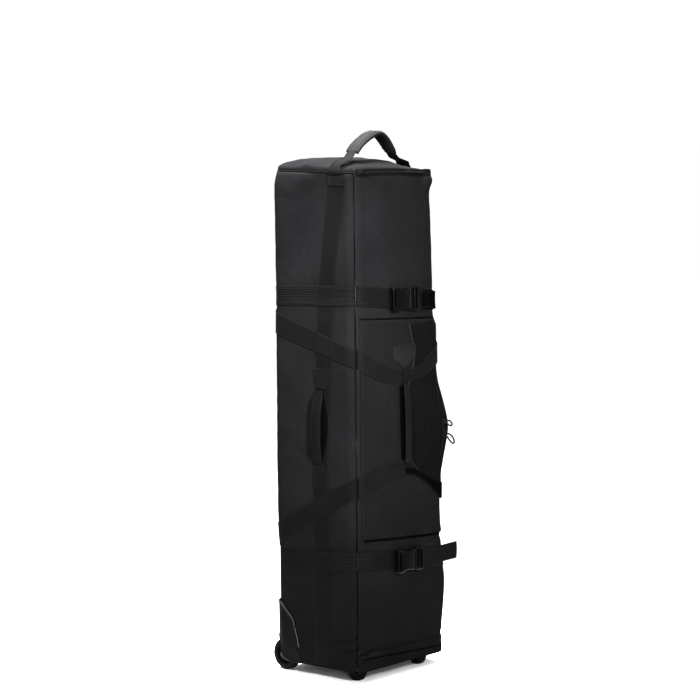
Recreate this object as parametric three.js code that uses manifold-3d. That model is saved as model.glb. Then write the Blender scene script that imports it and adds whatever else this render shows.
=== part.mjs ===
// Wheeled golf travel case: a tall soft case on a moulded base, with a zipped front door.
// Millimetres, +Z up, front towards -Y, +X to the right of somebody facing the front.
import * as THREE from "three";
import { mergeVertices } from "three/addons/utils/BufferGeometryUtils.js";
import Module from "manifold-3d";

// ---- driving dimensions -------------------------------------------------
const BODY_BOTTOM = 44;
const BODY_TOP = 1246;
const HALF_WIDTH = { bottom: 172, top: 153 };
const FRONT_Y = { bottom: -125, top: -95 };
const BACK_Y = { bottom: 147, top: 174 };
const PANEL = 4; // padded fabric wall
const GAP = 0.4; // between neighbouring pieces
const BOARD_THICK = 2.5;
const REAR_RADIUS = 34;
const DOOR_RADIUS = 28;
const HINGE_SETBACK = 5.6; // hinge line behind the door's face
const DOOR_BOTTOM = 74;
const DOOR_TOP = 1246;
const DOOR_THICKNESS = 4.5;
const DOOR_WRAP = 14; // flat strip of the door past its rounded edge, on the far side
const BULGE = 14; // how far the door's middle swells forward
const BASE_BOTTOM = 28;
const BASE_TOP = 43;
const SILL_TOP = 72;
const CROWN = 1272;
const WEBBING = 50;
const WEB_THICK = 1.6;
const WHEEL = { radius: 40, width: 22, x: 138, y: 135, bore: 4.3 };
const WELL = { half: 24, front: 88, top: 92 };
const AXLE = { radius: 4, head: 6.5 };
const FOOT = { x: 121, y: -78 };
const INNER_STRAP = { z: 960, half: 19 };
const SLIDER_X = -138; // the long zip's sliders, closed, at its near end
const SIDE_HANDLE_Y = 3;

// ---- materials ----------------------------------------------------------
function finish(hex, roughness, metalness = 0) {
  return new THREE.MeshStandardMaterial({ color: hex, roughness, metalness });
}
const POLYESTER = finish(0x1b1b1e, 0.85);
const WEB = finish(0x141415, 0.8);
const MOULDED = finish(0x161617, 0.55);
const ACETAL = finish(0x0c0c0d, 0.25);
const TYRE = finish(0x1a1a1b, 0.75);
const STEEL = finish(0x9a9a9c, 0.35, 1);
const ZIP = finish(0x101011, 0.5);
const CORD = finish(0x6d6d70, 0.8);
const BOARD = finish(0x222224, 0.6);

const group = new THREE.Group();
const wasm = await Module();
wasm.setup();

function add(name, geometry, material) {
  const mesh = new THREE.Mesh(geometry, material);
  mesh.name = name;
  group.add(mesh);
  return mesh;
}

// ---- solid helpers ------------------------------------------------------
function sectionNormal(points) {
  const n = new THREE.Vector3();
  points.forEach((a, i) => {
    const b = points[(i + 1) % points.length];
    n.x += (a.y - b.y) * (a.z + b.z);
    n.y += (a.z - b.z) * (a.x + b.x);
    n.z += (a.x - b.x) * (a.y + b.y);
  });
  return n.normalize();
}

function capTriangles(points) {
  const n = sectionNormal(points);
  const helper = Math.abs(n.z) < 0.9 ? new THREE.Vector3(0, 0, 1) : new THREE.Vector3(1, 0, 0);
  const u = helper.cross(n).normalize();
  const v = n.clone().cross(u);
  const flat = points.map((p) => new THREE.Vector2(p.dot(u), p.dot(v)));
  return THREE.ShapeUtils.triangulateShape(flat, []);
}

// One closed solid through a row of sections, each a ring of the same number of points.
function loft(sections) {
  const count = sections[0].length;
  const position = sections.flat().flatMap((p) => [p.x, p.y, p.z]);
  const index = [];
  for (let s = 0; s + 1 < sections.length; s++) {
    for (let i = 0; i < count; i++) {
      const j = (i + 1) % count;
      const [a, b] = [s * count + i, s * count + j];
      const [c, d] = [a + count, b + count];
      index.push(a, b, d, a, d, c);
    }
  }
  for (const [a, b, c] of capTriangles(sections[0])) index.push(c, b, a);
  const last = (sections.length - 1) * count;
  for (const [a, b, c] of capTriangles(sections.at(-1))) index.push(last + a, last + b, last + c);
  const geometry = new THREE.BufferGeometry();
  geometry.setAttribute("position", new THREE.Float32BufferAttribute(position, 3));
  geometry.setIndex(index);
  return signedVolume(geometry) < 0 ? flipped(geometry) : geometry;
}

function signedVolume(geometry) {
  const p = geometry.getAttribute("position");
  const index = geometry.index.array;
  const [a, b, c] = [new THREE.Vector3(), new THREE.Vector3(), new THREE.Vector3()];
  let sum = 0;
  for (let i = 0; i < index.length; i += 3) {
    a.fromBufferAttribute(p, index[i]);
    b.fromBufferAttribute(p, index[i + 1]);
    c.fromBufferAttribute(p, index[i + 2]);
    sum += a.dot(b.cross(c));
  }
  return sum / 6;
}

function flipped(geometry) {
  const index = geometry.index.array;
  for (let i = 0; i < index.length; i += 3) {
    [index[i + 1], index[i + 2]] = [index[i + 2], index[i + 1]];
  }
  return geometry;
}

function solid(geometry) {
  const bare = geometry.clone();
  bare.deleteAttribute("normal");
  bare.deleteAttribute("uv");
  const merged = mergeVertices(bare, 1e-4);
  return new wasm.Manifold(
    new wasm.Mesh({
      numProp: 3,
      vertProperties: merged.getAttribute("position").array,
      triVerts: new Uint32Array(merged.index.array),
    }),
  );
}

function fromSolid(body) {
  const mesh = body.getMesh();
  const geometry = new THREE.BufferGeometry();
  geometry.setAttribute("position", new THREE.BufferAttribute(mesh.vertProperties, 3));
  geometry.setIndex(new THREE.BufferAttribute(mesh.triVerts, 1));
  return geometry;
}

function cut(geometry, ...tools) {
  return fromSolid(tools.reduce((body, tool) => body.subtract(solid(tool)), solid(geometry)));
}

function join(...geometries) {
  return fromSolid(geometries.map(solid).reduce((a, b) => a.add(b)));
}

function box(x0, x1, y0, y1, z0, z1) {
  const geometry = new THREE.BoxGeometry(x1 - x0, y1 - y0, z1 - z0);
  return geometry.translate((x0 + x1) / 2, (y0 + y1) / 2, (z0 + z1) / 2);
}

// A solid of revolution about X, from a closed profile of [x, radius] points.
function turnedX(profile, segments) {
  const closed = [...profile, profile[0]].map(([x, r]) => new THREE.Vector2(r, x));
  return new THREE.LatheGeometry(closed, segments).rotateZ(-Math.PI / 2);
}

function cylinderX(radius, x0, x1, y, z, segments) {
  const geometry = new THREE.CylinderGeometry(radius, radius, x1 - x0, segments);
  return geometry.rotateZ(Math.PI / 2).translate((x0 + x1) / 2, y, z);
}

function steps(from, to, count) {
  return Array.from({ length: count + 1 }, (_, i) => from + ((to - from) * i) / count);
}

function mix(a, b, t) {
  return a + (b - a) * t;
}

// A value read off a short list of [position, value] points, straight between them.
function along(points, at) {
  const [first, last] = [points[0], points.at(-1)];
  if (at <= first[0]) return first[1];
  if (at >= last[0]) return last[1];
  const i = points.findIndex(([p]) => p >= at);
  const [a, b] = [points[i - 1], points[i]];
  return mix(a[1], b[1], (at - a[0]) / (b[0] - a[0]));
}

// ---- the case's outer surface -------------------------------------------
function rise(z) {
  return (z - BODY_BOTTOM) / (BODY_TOP - BODY_BOTTOM);
}

function halfWidth(z) {
  return mix(HALF_WIDTH.bottom, HALF_WIDTH.top, rise(z));
}

function frontY(z) {
  return mix(FRONT_Y.bottom, FRONT_Y.top, rise(z));
}

function backY(z) {
  return mix(BACK_Y.bottom, BACK_Y.top, rise(z));
}

function bulge(x, z) {
  const across = 1 - (x / halfWidth(z)) ** 2;
  const up = 1 - (2 * Math.min(Math.max(rise(z), 0), 1) - 1) ** 4;
  return BULGE * Math.max(across, 0) * up;
}

// Round a side (-1 near, +1 far): u runs back from the front edge, round the rear corner,
// then in across the back.
function wrap(side, u, z, lift) {
  const flat = backY(z) - REAR_RADIUS - frontY(z);
  const arc = (REAR_RADIUS * Math.PI) / 2;
  const [w, r] = [halfWidth(z), REAR_RADIUS];
  if (u <= flat) return new THREE.Vector3(side * (w + lift), frontY(z) + u, z);
  if (u >= flat + arc) {
    return new THREE.Vector3(side * (w - r - (u - flat - arc)), backY(z) + lift, z);
  }
  const a = (u - flat) / r;
  const reach = r + lift;
  return new THREE.Vector3(
    side * (w - r + reach * Math.cos(a)),
    backY(z) - r + reach * Math.sin(a),
    z,
  );
}

function flatDepth(z) {
  return backY(z) - REAR_RADIUS - frontY(z);
}

// Places along wrap's u that follow the facets of the rear corner.
function wrapSteps(from, to, z) {
  const flat = flatDepth(z);
  const bend = steps(flat, flat + (REAR_RADIUS * Math.PI) / 2, 6);
  const inside = [...steps(from, flat, 5), ...bend].filter((u) => u > from + 1 && u < to - 1);
  return [from, ...inside.filter((u, i) => i === 0 || u > inside[i - 1] + 0.01), to];
}

// Over the door: p is x across the front, then runs on round the far edge and back.
function doorFace(p, z, lift) {
  const start = halfWidth(z) - DOOR_RADIUS;
  const arc = (DOOR_RADIUS * Math.PI) / 2;
  const y = frontY(z) - bulge(Math.min(p, start), z);
  if (p <= start) return new THREE.Vector3(p, y - lift, z);
  const drop = bulge(start, z);
  const reach = DOOR_RADIUS + lift;
  const a = Math.min((p - start) / DOOR_RADIUS, Math.PI / 2);
  const back = Math.max(p - start - arc, 0);
  return new THREE.Vector3(
    start + reach * Math.sin(a),
    frontY(z) - drop * Math.cos(a) + DOOR_RADIUS - reach * Math.cos(a) + back,
    z,
  );
}

function doorEdge(z) {
  return halfWidth(z) - DOOR_RADIUS + (DOOR_RADIUS * Math.PI) / 2 + DOOR_WRAP;
}

// Places along doorFace's p that follow the facets of the door and its rounded edge.
function doorSteps(from, to, z) {
  const start = halfWidth(z) - DOOR_RADIUS;
  const bend = steps(start, start + (DOOR_RADIUS * Math.PI) / 2, 5);
  const inside = [...steps(-160, start, 16), ...bend].filter((p) => p > from + 1 && p < to - 1);
  return [from, ...inside.filter((p, i) => i === 0 || p > inside[i - 1] + 0.01), to];
}

// A flat strip on a surface. Each pair holds the two edge points [a, za, b, zb].
function band(surface, pairs, lift, thickness) {
  return loft(
    pairs.map(([a, za, b, zb]) => {
      const low = typeof lift === "function" ? [lift(a, za), lift(b, zb)] : [lift, lift];
      return [
        surface(a, za, low[0]),
        surface(b, zb, low[1]),
        surface(b, zb, low[1] + thickness),
        surface(a, za, low[0] + thickness),
      ];
    }),
  );
}

// ---- shell --------------------------------------------------------------
// The rounded outline of the case, seen from above, at one level.
function outline(z, inset, at = z) {
  const [w, f, b] = [halfWidth(z) - inset, frontY(z) + inset, backY(z) - inset];
  const corners = [
    { x: w, y: b, r: REAR_RADIUS - inset, from: 0 },
    { x: -w, y: b, r: REAR_RADIUS - inset, from: 1 },
    { x: -w, y: f, r: 8, from: 2 },
    { x: w, y: f, r: DOOR_RADIUS - inset, from: 3 },
  ];
  return corners.flatMap(({ x, y, r, from }) =>
    steps(from, from + 1, 5).map((q) => {
      const a = (q * Math.PI) / 2;
      const centre = [x - Math.sign(x) * r, y === b ? y - r : y + r];
      return new THREE.Vector3(centre[0] + r * Math.cos(a), centre[1] + r * Math.sin(a), at);
    }),
  );
}

function wheelWell(side) {
  const x = side * WHEEL.x;
  return box(x - WELL.half, x + WELL.half, WELL.front, 260, 0, WELL.top);
}

function baseTray() {
  const slab = loft([
    outline(BODY_BOTTOM, 8, BASE_BOTTOM),
    outline(BODY_BOTTOM, 1, BASE_BOTTOM + 6),
    outline(BODY_BOTTOM, 1, BASE_TOP),
  ]);
  const w = HALF_WIDTH.bottom - DOOR_RADIUS;
  const y = FRONT_Y.bottom;
  const sill = box(-HALF_WIDTH.bottom + 10, w, y + 0.6, y + DOOR_THICKNESS, BASE_TOP - 8, SILL_TOP);
  return cut(join(slab, sill), wheelWell(-1), wheelWell(1));
}

function sidePanel(side) {
  const ring = (z) => {
    const start = side < 0 ? HINGE_SETBACK + GAP : DOOR_RADIUS + DOOR_WRAP + GAP;
    const bend = steps(flatDepth(z), flatDepth(z) + (REAR_RADIUS * Math.PI) / 2, 6);
    const us = [start, ...bend];
    const outer = us.map((u) => wrap(side, u, z, 0));
    const inner = us.map((u) => wrap(side, u, z, -PANEL)).reverse();
    return [...outer, ...inner];
  };
  return cut(loft([ring(BODY_BOTTOM), ring(BODY_TOP)]), wheelWell(side));
}

function slopedSheet(halfAt, yAt, thickness, z0, z1) {
  return loft(
    [z0, z1].map((z) => {
      const [w, y] = [halfAt(z), yAt(z)];
      return [
        new THREE.Vector3(-w, y, z),
        new THREE.Vector3(w, y, z),
        new THREE.Vector3(w, y - thickness, z),
        new THREE.Vector3(-w, y - thickness, z),
      ];
    }),
  );
}

function backPanel() {
  const sheet = slopedSheet((z) => halfWidth(z) - REAR_RADIUS - GAP, backY, PANEL, BODY_BOTTOM, BODY_TOP);
  return cut(sheet, wheelWell(-1), wheelWell(1));
}

function backStiffener() {
  const inset = (z) => backY(z) - PANEL - GAP;
  const half = (z) => halfWidth(z) - REAR_RADIUS - 12;
  return slopedSheet(half, inset, BOARD_THICK, WELL.top + 6, BODY_TOP - 20);
}

// The padded top: a cushion whose middle stands at the crown.
function topPanel() {
  const edge = outline(BODY_TOP, 0);
  const middle = new THREE.Vector3(0, (FRONT_Y.top + BACK_Y.top) / 2, 0);
  const ring = (scale, z) =>
    edge.map((p) => new THREE.Vector3(p.x, p.y, 0).sub(middle).multiplyScalar(scale).add(middle).setZ(z));
  const levels = [
    [1, BODY_TOP + 1],
    [1, BODY_TOP + 9],
    [0.965, CROWN - 10],
    [0.88, CROWN - 5],
    [0.55, CROWN - 1],
    [0.2, CROWN],
  ];
  return loft(levels.map(([scale, z]) => ring(scale, z)));
}

function innerStrap() {
  const { z, half } = INNER_STRAP;
  const inner = (p, at, lift) =>
    new THREE.Vector3(p, backY(at) - PANEL - GAP - BOARD_THICK - GAP - lift, at);
  const reach = halfWidth(z) - REAR_RADIUS - 14;
  return band(inner, steps(-reach, reach, 2).map((p) => [p, z - half, p, z + half]), 0, WEB_THICK);
}

function doorPanel() {
  const levels = steps(DOOR_BOTTOM, DOOR_TOP, 14);
  const ring = (z) => {
    const ps = steps(-halfWidth(z) + 0.5, halfWidth(z) - DOOR_RADIUS - GAP, 12);
    const outer = ps.map((p) => doorFace(p, z, 0));
    const inner = ps.map((p) => doorFace(p, z, -DOOR_THICKNESS)).reverse();
    return [...outer, ...inner];
  };
  return loft(levels.map(ring));
}

function doorGusset() {
  const levels = steps(DOOR_BOTTOM, DOOR_TOP, 10);
  const ring = (z) => {
    const start = halfWidth(z) - DOOR_RADIUS;
    const ps = [...steps(start, start + (DOOR_RADIUS * Math.PI) / 2, 5), doorEdge(z) - GAP];
    const outer = ps.map((p) => doorFace(p, z, 0));
    const inner = ps.map((p) => doorFace(p, z, -DOOR_THICKNESS)).reverse();
    return [...outer, ...inner];
  };
  return loft(levels.map(ring));
}

// The long zip runs over the top of the door, down its far side and under it.
// Each tape is a C of strips; offset is its distance outside (+) or inside (-) the zip line.
function zipTape(offset, width, surface) {
  const [top, bottom] = [DOOR_TOP + 1.5, DOOR_BOTTOM - 1];
  const side = (z) => doorEdge(z) - 1 + GAP;
  const near = -HALF_WIDTH.top + 4;
  const corner = 9;
  const spine = [
    ...doorSteps(near, side(top) - corner, top).map((p) => [p, top, 0, 1]),
    [side(top) - 0.3 * corner, top - 0.3 * corner, 0.7, 0.7],
    ...steps(top - corner, bottom + corner, 12).map((z) => [side(z), z, 1, 0]),
    [side(bottom) - 0.3 * corner, bottom + 0.3 * corner, 0.7, -0.7],
    ...doorSteps(near, side(bottom) - corner, bottom).reverse().map((p) => [p, bottom, 0, -1]),
  ];
  const pairs = spine.map(([p, z, dp, dz]) => [
    p + dp * offset,
    z + dz * offset,
    p + dp * (offset + width),
    z + dz * (offset + width),
  ]);
  return band(surface, pairs, 0.6, 1);
}

// ---- webbing ------------------------------------------------------------
// Straps on the sides: centre line [u, z], with edges half a width above and below.
function levelStrap(side, from, to) {
  const pairs = wrapSteps(from[0], to[0], to[1]).map((u) => {
    const z = along([from, to], u);
    return [u, z - WEBBING / 2, u, z + WEBBING / 2];
  });
  return band((u, z, up) => wrap(side, u, z, up), pairs, SIDE_LIFT, WEB_THICK);
}

const SPINE_ROUTE = [
  [56, 117],
  [280, 111],
  [514, 117],
  [760, 104],
  [976, 92],
  [1150, 70],
  [1243, 60],
];

// The far one stays behind the zip.
const FAR_SPINE = 95;

function spineStrap(side) {
  const route = SPINE_ROUTE.map(([z, u]) => [z, side < 0 ? u : Math.max(u, FAR_SPINE)]);
  const pairs = route.map(([z, u]) => [u - WEBBING / 2, z, u + WEBBING / 2, z]);
  return band((u, z, up) => wrap(side, u, z, up), pairs, GAP, WEB_THICK);
}

const SIDE_LIFT = GAP + WEB_THICK + GAP;
const DOOR_LIFT = 2.2;
const COMPRESSION = {
  upper: { rear: [290, 938], front: [HINGE_SETBACK + 3, 951], across: (x) => 951 - 0.092 * (x + 158) },
  lower: { rear: [212, 288], front: [HINGE_SETBACK + 3, 304], across: (x) => 304 - 0.085 * (x + 165) },
};
// Haul straps slant from the rear edge to the middle of the door.
const HAUL = {
  upper: { rear: [270, 848, 905], front: [HINGE_SETBACK + 3, 774, 822], middle: 745 },
  lower: { rear: [270, 314, 370], front: [HINGE_SETBACK + 3, 456, 508], middle: 516 },
};

function haulSide(side, { rear, front }) {
  const edge = (k, u) => along([[front[0], front[k]], [rear[0], rear[k]]], u);
  const pairs = wrapSteps(front[0], rear[0], rear[1]).map((u) => [u, edge(1, u), u, edge(2, u)]);
  return band((u, z, up) => wrap(side, u, z, up), pairs, SIDE_LIFT, WEB_THICK);
}

// Over the door the far straps lie on the pocket, so their lift follows it.
function overDoor(p, z) {
  return DOOR_LIFT + (p > 0 ? pocketHeight(p, z) + 1 : 0);
}

function haulFront(side, { front, middle }) {
  const edge = (front[1] + front[2]) / 2;
  const nearEdge = -halfWidth(edge) + 1.5;
  const ps = side < 0 ? doorSteps(nearEdge, -16, edge) : doorSteps(30, doorEdge(edge) - 1, edge);
  return ps.map((p) => {
    const t = Math.min((Math.abs(p) - 16) / (halfWidth(edge) - 16), 1);
    const centre = mix(middle, edge, t ** 1.7);
    const half = mix(13, (front[2] - front[1]) / 2, Math.min(t * 1.7, 1));
    return [p, centre - half, p, centre + half];
  });
}

// ---- pocket on the far half of the door ----------------------------------
const POCKET = { left: 19, right: 150, thick: 3, swell: 27, middle: 606 };
const POCKET_TURN = 17; // how far the pocket goes round the door's far edge
const POCKET_LEFT_EDGE = [
  [452, 108],
  [480, 83],
  [528, 27],
  [549, 19],
  [723, 19],
  [761, 34],
  [800, 45],
  [872, 22],
];

function pocketHeight(p, z) {
  if (p < POCKET.left - 6 || p > POCKET.right + 6) return 0;
  const across = Math.sin(Math.PI * Math.min(Math.max((p - POCKET.left) / 190, 0), 1));
  const up = Math.exp(-(((z - POCKET.middle) / 80) ** 2));
  return POCKET.thick + POCKET.swell * across * up;
}

function pocketPanel() {
  const left = (z) => along(POCKET_LEFT_EDGE, z);
  const levels = [452, 466, 480, 504, 528, 549, 575, 606, 640, 680, 723, 761, 800, 836, 872];
  const ring = (z) => {
    const start = halfWidth(z) - DOOR_RADIUS;
    const ps = [...steps(left(z), start, 7), ...steps(start, start + POCKET_TURN, 3).slice(1)];
    const inner = ps.map((p) => doorFace(p, z, 0.8)).reverse();
    const outer = ps.map((p) => doorFace(p, z, 0.8 + pocketHeight(p, z)));
    return [...outer, ...inner];
  };
  return loft(levels.map(ring));
}

const POCKET_ZIP = { p: 128, bottom: 534, top: 728 };
const PULL_REACH = 12.5; // from a pocket slider's seat forward to its pull's hinge
const POCKET_SLIDERS = [["upper", 622, 1], ["lower", 590, -1]];

function pocketZipLift(z) {
  return 0.8 + pocketHeight(POCKET_ZIP.p, z) + 1.2;
}

function pocketZipTape() {
  const { p, bottom, top } = POCKET_ZIP;
  const pairs = steps(bottom, top, 12).map((z) => [p - 5, z, p + 5, z]);
  return band(doorFace, pairs, (at, z) => 0.8 + pocketHeight(at, z) + 1.2, 1);
}

// ---- small moulded parts ------------------------------------------------
// A block that leans with the door and stands off the furthest point of its swell.
function doorBlock(p0, p1, z0, z1, lift0, lift1) {
  const corner = (p, z, lift) => new THREE.Vector3(p, frontY(z) - BULGE - lift, z);
  const ring = (p) => [
    corner(p, z0, lift0),
    corner(p, z1, lift0),
    corner(p, z1, lift1),
    corner(p, z0, lift1),
  ];
  return loft([ring(p0), ring(p1)]);
}

const BUCKLE = { socket: [-52, 16], shoulder: [17, 52], half: 29, low: 4, high: 17 };

// The socket is a sleeve, open towards +X, with the strap bar's slot at its near end.
function buckleSocket(z) {
  const { socket, half, low, high } = BUCKLE;
  const body = doorBlock(socket[0], socket[1], z - half, z + half, low, high);
  const mouth = doorBlock(-16, socket[1] + 5, z - half + 4, z + half - 4, low + 3, high - 3);
  const slot = doorBlock(-44, -37, z - half + 3, z + half - 3, low - 5, high + 5);
  return cut(body, mouth, slot);
}

// The plug has two prongs that sit in the socket, a shoulder and a ladder bar.
function bucklePlug(z) {
  const { shoulder: [start, end], half, low, high } = BUCKLE;
  const shoulder = doorBlock(start, end, z - half, z + half, low, high);
  const tongue = doorBlock(-12, 18, z - half + 5, z - half + 15, low + 4, high - 4);
  const twin = doorBlock(-12, 18, z + half - 15, z + half - 5, low + 4, high - 4);
  const guide = doorBlock(-12, 18, z - 3, z + 3, low + 4, high - 4);
  const slots = [28, 40].map((p) => doorBlock(p, p + 6, z - half + 3, z + half - 3, low - 5, high + 5));
  return cut(join(shoulder, tongue, twin, guide), ...slots);
}

function frontStrap(side, level) {
  const { across } = level;
  const edge = across(0);
  const far = doorEdge(edge) - 1;
  const ps = side < 0 ? doorSteps(-halfWidth(edge) + 1.5, -2, edge) : doorSteps(6, far, edge);
  const middle = (p) => across(Math.min(p, halfWidth(edge)));
  return ps.map((p) => [p, middle(p) - WEBBING / 2, p, middle(p) + WEBBING / 2]);
}

// The loose end of the lower strap stands out past the far edge as far as the side handle does.
function strapTail() {
  const z = COMPRESSION.lower.across(halfWidth(300)) + 4;
  const y = frontY(z);
  const end = -sideReach();
  const station = (x, at) => [
    new THREE.Vector3(x, at, z - 20),
    new THREE.Vector3(x, at - 2.5, z - 20),
    new THREE.Vector3(x, at - 2.5, z + 20),
    new THREE.Vector3(x, at, z + 20),
  ];
  return loft([station(132, y - 5.5), station(150, y - 9), station(172, y - 20), station(end, y - 27)]);
}

function shieldPatch() {
  const pairs = steps(-44, 44, 8).map((p) => [p, 762 + (30 * Math.abs(p)) / 44, p, 824]);
  return band(doorFace, pairs, (p, z) => 1 + (p > 10 ? pocketHeight(p, z) + 0.8 : 0), 2);
}

function slider(length, width, height) {
  const shape = new THREE.Shape();
  const [l, w] = [length / 2, width / 2];
  shape.moveTo(-l, -w * 0.6);
  shape.lineTo(-l * 0.4, -w);
  shape.lineTo(l, -w);
  shape.lineTo(l, w);
  shape.lineTo(-l * 0.4, w);
  shape.lineTo(-l, w * 0.6);
  shape.closePath();
  return new THREE.ExtrudeGeometry(shape, { depth: height, bevelEnabled: false });
}

// A slider of the long zip, with its flat pull lying beside it along the zip.
function caseSlider(z) {
  const body = slider(14, 11, 5).rotateX(Math.PI / 2);
  const pull = new THREE.BoxGeometry(18, 1.6, 6).translate(14, -5.6, 0);
  const bail = new THREE.BoxGeometry(7, 2.4, 5).translate(3, -6, 0);
  return join(body, pull, bail).translate(SLIDER_X, doorFace(0, z, 2.4).y, z);
}

function pocketSlider(up) {
  const body = slider(13, 10, 5).rotateX(Math.PI / 2).rotateY((up * Math.PI) / 2);
  const bail = new THREE.BoxGeometry(3, 3.4, 6).translate(0, -6.4, 0);
  return join(body, bail);
}

// A cord loop with a moulded tip, hanging forward and down from the slider's bail.
function cordPull() {
  const loop = new THREE.Path();
  loop.moveTo(0, 0);
  loop.bezierCurveTo(9, -3, 18, -4, 24, -12);
  const flat = loop.getPoints(8).map((p) => new THREE.Vector3(0, -p.x, p.y));
  const curve = new THREE.CatmullRomCurve3(flat);
  const section = new THREE.Shape();
  section.absellipse(0, 0, 2, 4, 0, Math.PI * 2);
  const options = { steps: 8, extrudePath: curve, curveSegments: 5, bevelEnabled: false };
  return new THREE.ExtrudeGeometry(section, options);
}

function footBlock() {
  const ring = (a, b, z) =>
    steps(0, 1, 16).slice(0, 16).map((t) => {
      const angle = t * Math.PI * 2;
      const [c, s] = [Math.cos(angle), Math.sin(angle)];
      const squash = (v) => Math.sign(v) * Math.sqrt(Math.abs(v));
      return new THREE.Vector3(a * squash(c), b * squash(s), z);
    });
  return loft([ring(15, 11, 0), ring(18, 14, 4), ring(24, 19, BASE_BOTTOM - GAP)]);
}

function wheelGuard(side) {
  const front = frontY(90);
  const fromFront = (y) => y - front;
  const top = [[64, 60], [67, 76], [87, 141], [124, 176], [147, 180], [400, 180]];
  const bottom = [[64, 30], [86, 28], [113, 34], [126, 50], [138, 86], [400, 86]];
  const flat = flatDepth(90);
  const us = [
    ...[64, 67, 75, 87, 98].map(fromFront),
    ...steps(flat, flat + (REAR_RADIUS * Math.PI) / 2, 6),
    flat + (REAR_RADIUS * Math.PI) / 2 + 18,
  ];
  const pairs = us.map((u) => [u, along(bottom, u + front), u, along(top, u + front)]);
  return band((u, z, up) => wrap(side, u, z, up), pairs, GAP + 0.2, 3);
}

// Two cheeks and a bridge that carry the axle inside the base.
function wheelBracket(side) {
  const { x, y, width } = WHEEL;
  const [inner, outer] = [width / 2 + 2.5, width / 2 + 5.5];
  const cheek = (a, b) => box(x + a, x + b, WELL.front + 2, y + 6.5, BASE_BOTTOM, 88);
  const bridge = box(x - outer, x + outer, WELL.front + 2, y + 6.5, 85, 88);
  const bores = cylinderX(AXLE.radius + GAP, x - 30, x + 30, y, WHEEL.radius, 16);
  const body = cut(join(cheek(-outer, -inner), cheek(inner, outer), bridge), bores);
  return side < 0 ? flipped(mirrored(body)) : body;
}

function mirrored(geometry) {
  return geometry.applyMatrix4(new THREE.Matrix4().makeScale(-1, 1, 1));
}

function axle(side) {
  const { x, y, width, radius } = WHEEL;
  const outer = width / 2 + 5.5;
  const rod = cylinderX(AXLE.radius, x - outer - 1, x + outer + 1, y, radius, 16);
  const heads = [-1, 1].map((end) => {
    const at = x + end * (outer + 2.4);
    return cylinderX(AXLE.head, at - 1.9, at + 1.9, y, radius, 6);
  });
  const body = join(rod, ...heads);
  return side < 0 ? flipped(mirrored(body)) : body;
}

function tyreProfile() {
  const w = WHEEL.width / 2;
  const r = WHEEL.radius;
  const half = [[8, r], [4, r - 1.4], [0, r - 6], [0, 28]];
  const left = half.map(([inset, at]) => [-w + inset, at]).reverse();
  return [...left, ...half.map(([inset, at]) => [w - inset, at])];
}

function hubProfile() {
  const w = WHEEL.width / 2 - 1;
  const half = [[w, 27.6], [w, 26], [4, 24], [4, 17], [w, 15], [w, 11.4]];
  const left = half.map(([x, at]) => [-x, at]).reverse();
  return [...left, ...half];
}

function bearingProfile() {
  const w = WHEEL.width / 2 + 1;
  return [[-w, WHEEL.bore], [-w, 11], [w, 11], [w, WHEEL.bore]];
}

// ---- handles ------------------------------------------------------------
// A bar along a line of [x, y, z, half width, half thickness] stations; its width lies along Y.
function archBar(stations) {
  const centres = stations.map(([x, y, z]) => new THREE.Vector3(x, y, z));
  return loft(
    stations.map(([, , , half, thick], i) => {
      const before = centres[Math.max(i - 1, 0)];
      const after = centres[Math.min(i + 1, centres.length - 1)];
      const tangent = after.clone().sub(before).normalize();
      const wide = new THREE.Vector3(0, 1, 0).addScaledVector(tangent, -tangent.y).normalize();
      const out = wide.clone().cross(tangent);
      const corner = (a, b) =>
        centres[i].clone().addScaledVector(wide, a * half).addScaledVector(out, b * thick);
      return [corner(-1, -0.5), corner(-0.7, -1), corner(0.7, -1), corner(1, -0.5),
        corner(1, 0.5), corner(0.7, 1), corner(-0.7, 1), corner(-1, 0.5)];
    }),
  );
}

const HANDLE = { near: FRONT_Y.top + 60, far: FRONT_Y.top + FAR_SPINE };

function topHandle() {
  const reach = HALF_WIDTH.top + 6.5;
  return archBar([
    [-reach, HANDLE.near, BODY_TOP + 1, 23, 1.1],
    [-reach + 4, HANDLE.near, 1278, 21, 1.1],
    [-134, -35, 1304, 17, 1.4],
    [-122, -34, 1317, 20, 5],
    [-70, -27, 1334, 20, 6],
    [-18, -21, 1340, 20, 6],
    [30, -13, 1326, 20, 6],
    [80, -6, 1302, 19, 5],
    [96, -4, 1291, 16, 1.4],
    [reach - 5, HANDLE.far, 1271, 20, 1.1],
    [reach, HANDLE.far, BODY_TOP + 1, 23, 1.1],
  ]);
}

// Padded grips standing off a face; each station is [z, stand-off, half width, half thickness].
function grip(place, outward, acrossway, stations) {
  return loft(
    stations.map(([z, stand, half, thick]) => {
      const centre = place(z).addScaledVector(outward, stand);
      return steps(0, 1, 12).slice(0, 12).map((t) => {
        const a = t * Math.PI * 2;
        return centre
          .clone()
          .addScaledVector(acrossway, half * Math.cos(a))
          .addScaledVector(outward, thick * Math.sin(a));
      });
    }),
  );
}

const X_AXIS = new THREE.Vector3(1, 0, 0);
const Y_AXIS = new THREE.Vector3(0, 1, 0);

// The x of the side handle's outermost point.
function sideReach() {
  return wrap(-1, 0, 625, 27.5).x;
}

function sideHandle() {
  const place = (z) => wrap(-1, SIDE_HANDLE_Y - frontY(z), z, 0);
  const upper = [[675, 21, 15, 5], [698, 18, 13, 3]];
  const stations = [[552, 18, 13, 3], [575, 21, 15, 5], [625, 22, 15, 5.5], ...upper];
  return grip(place, X_AXIS.clone().negate(), Y_AXIS, stations);
}

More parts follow.
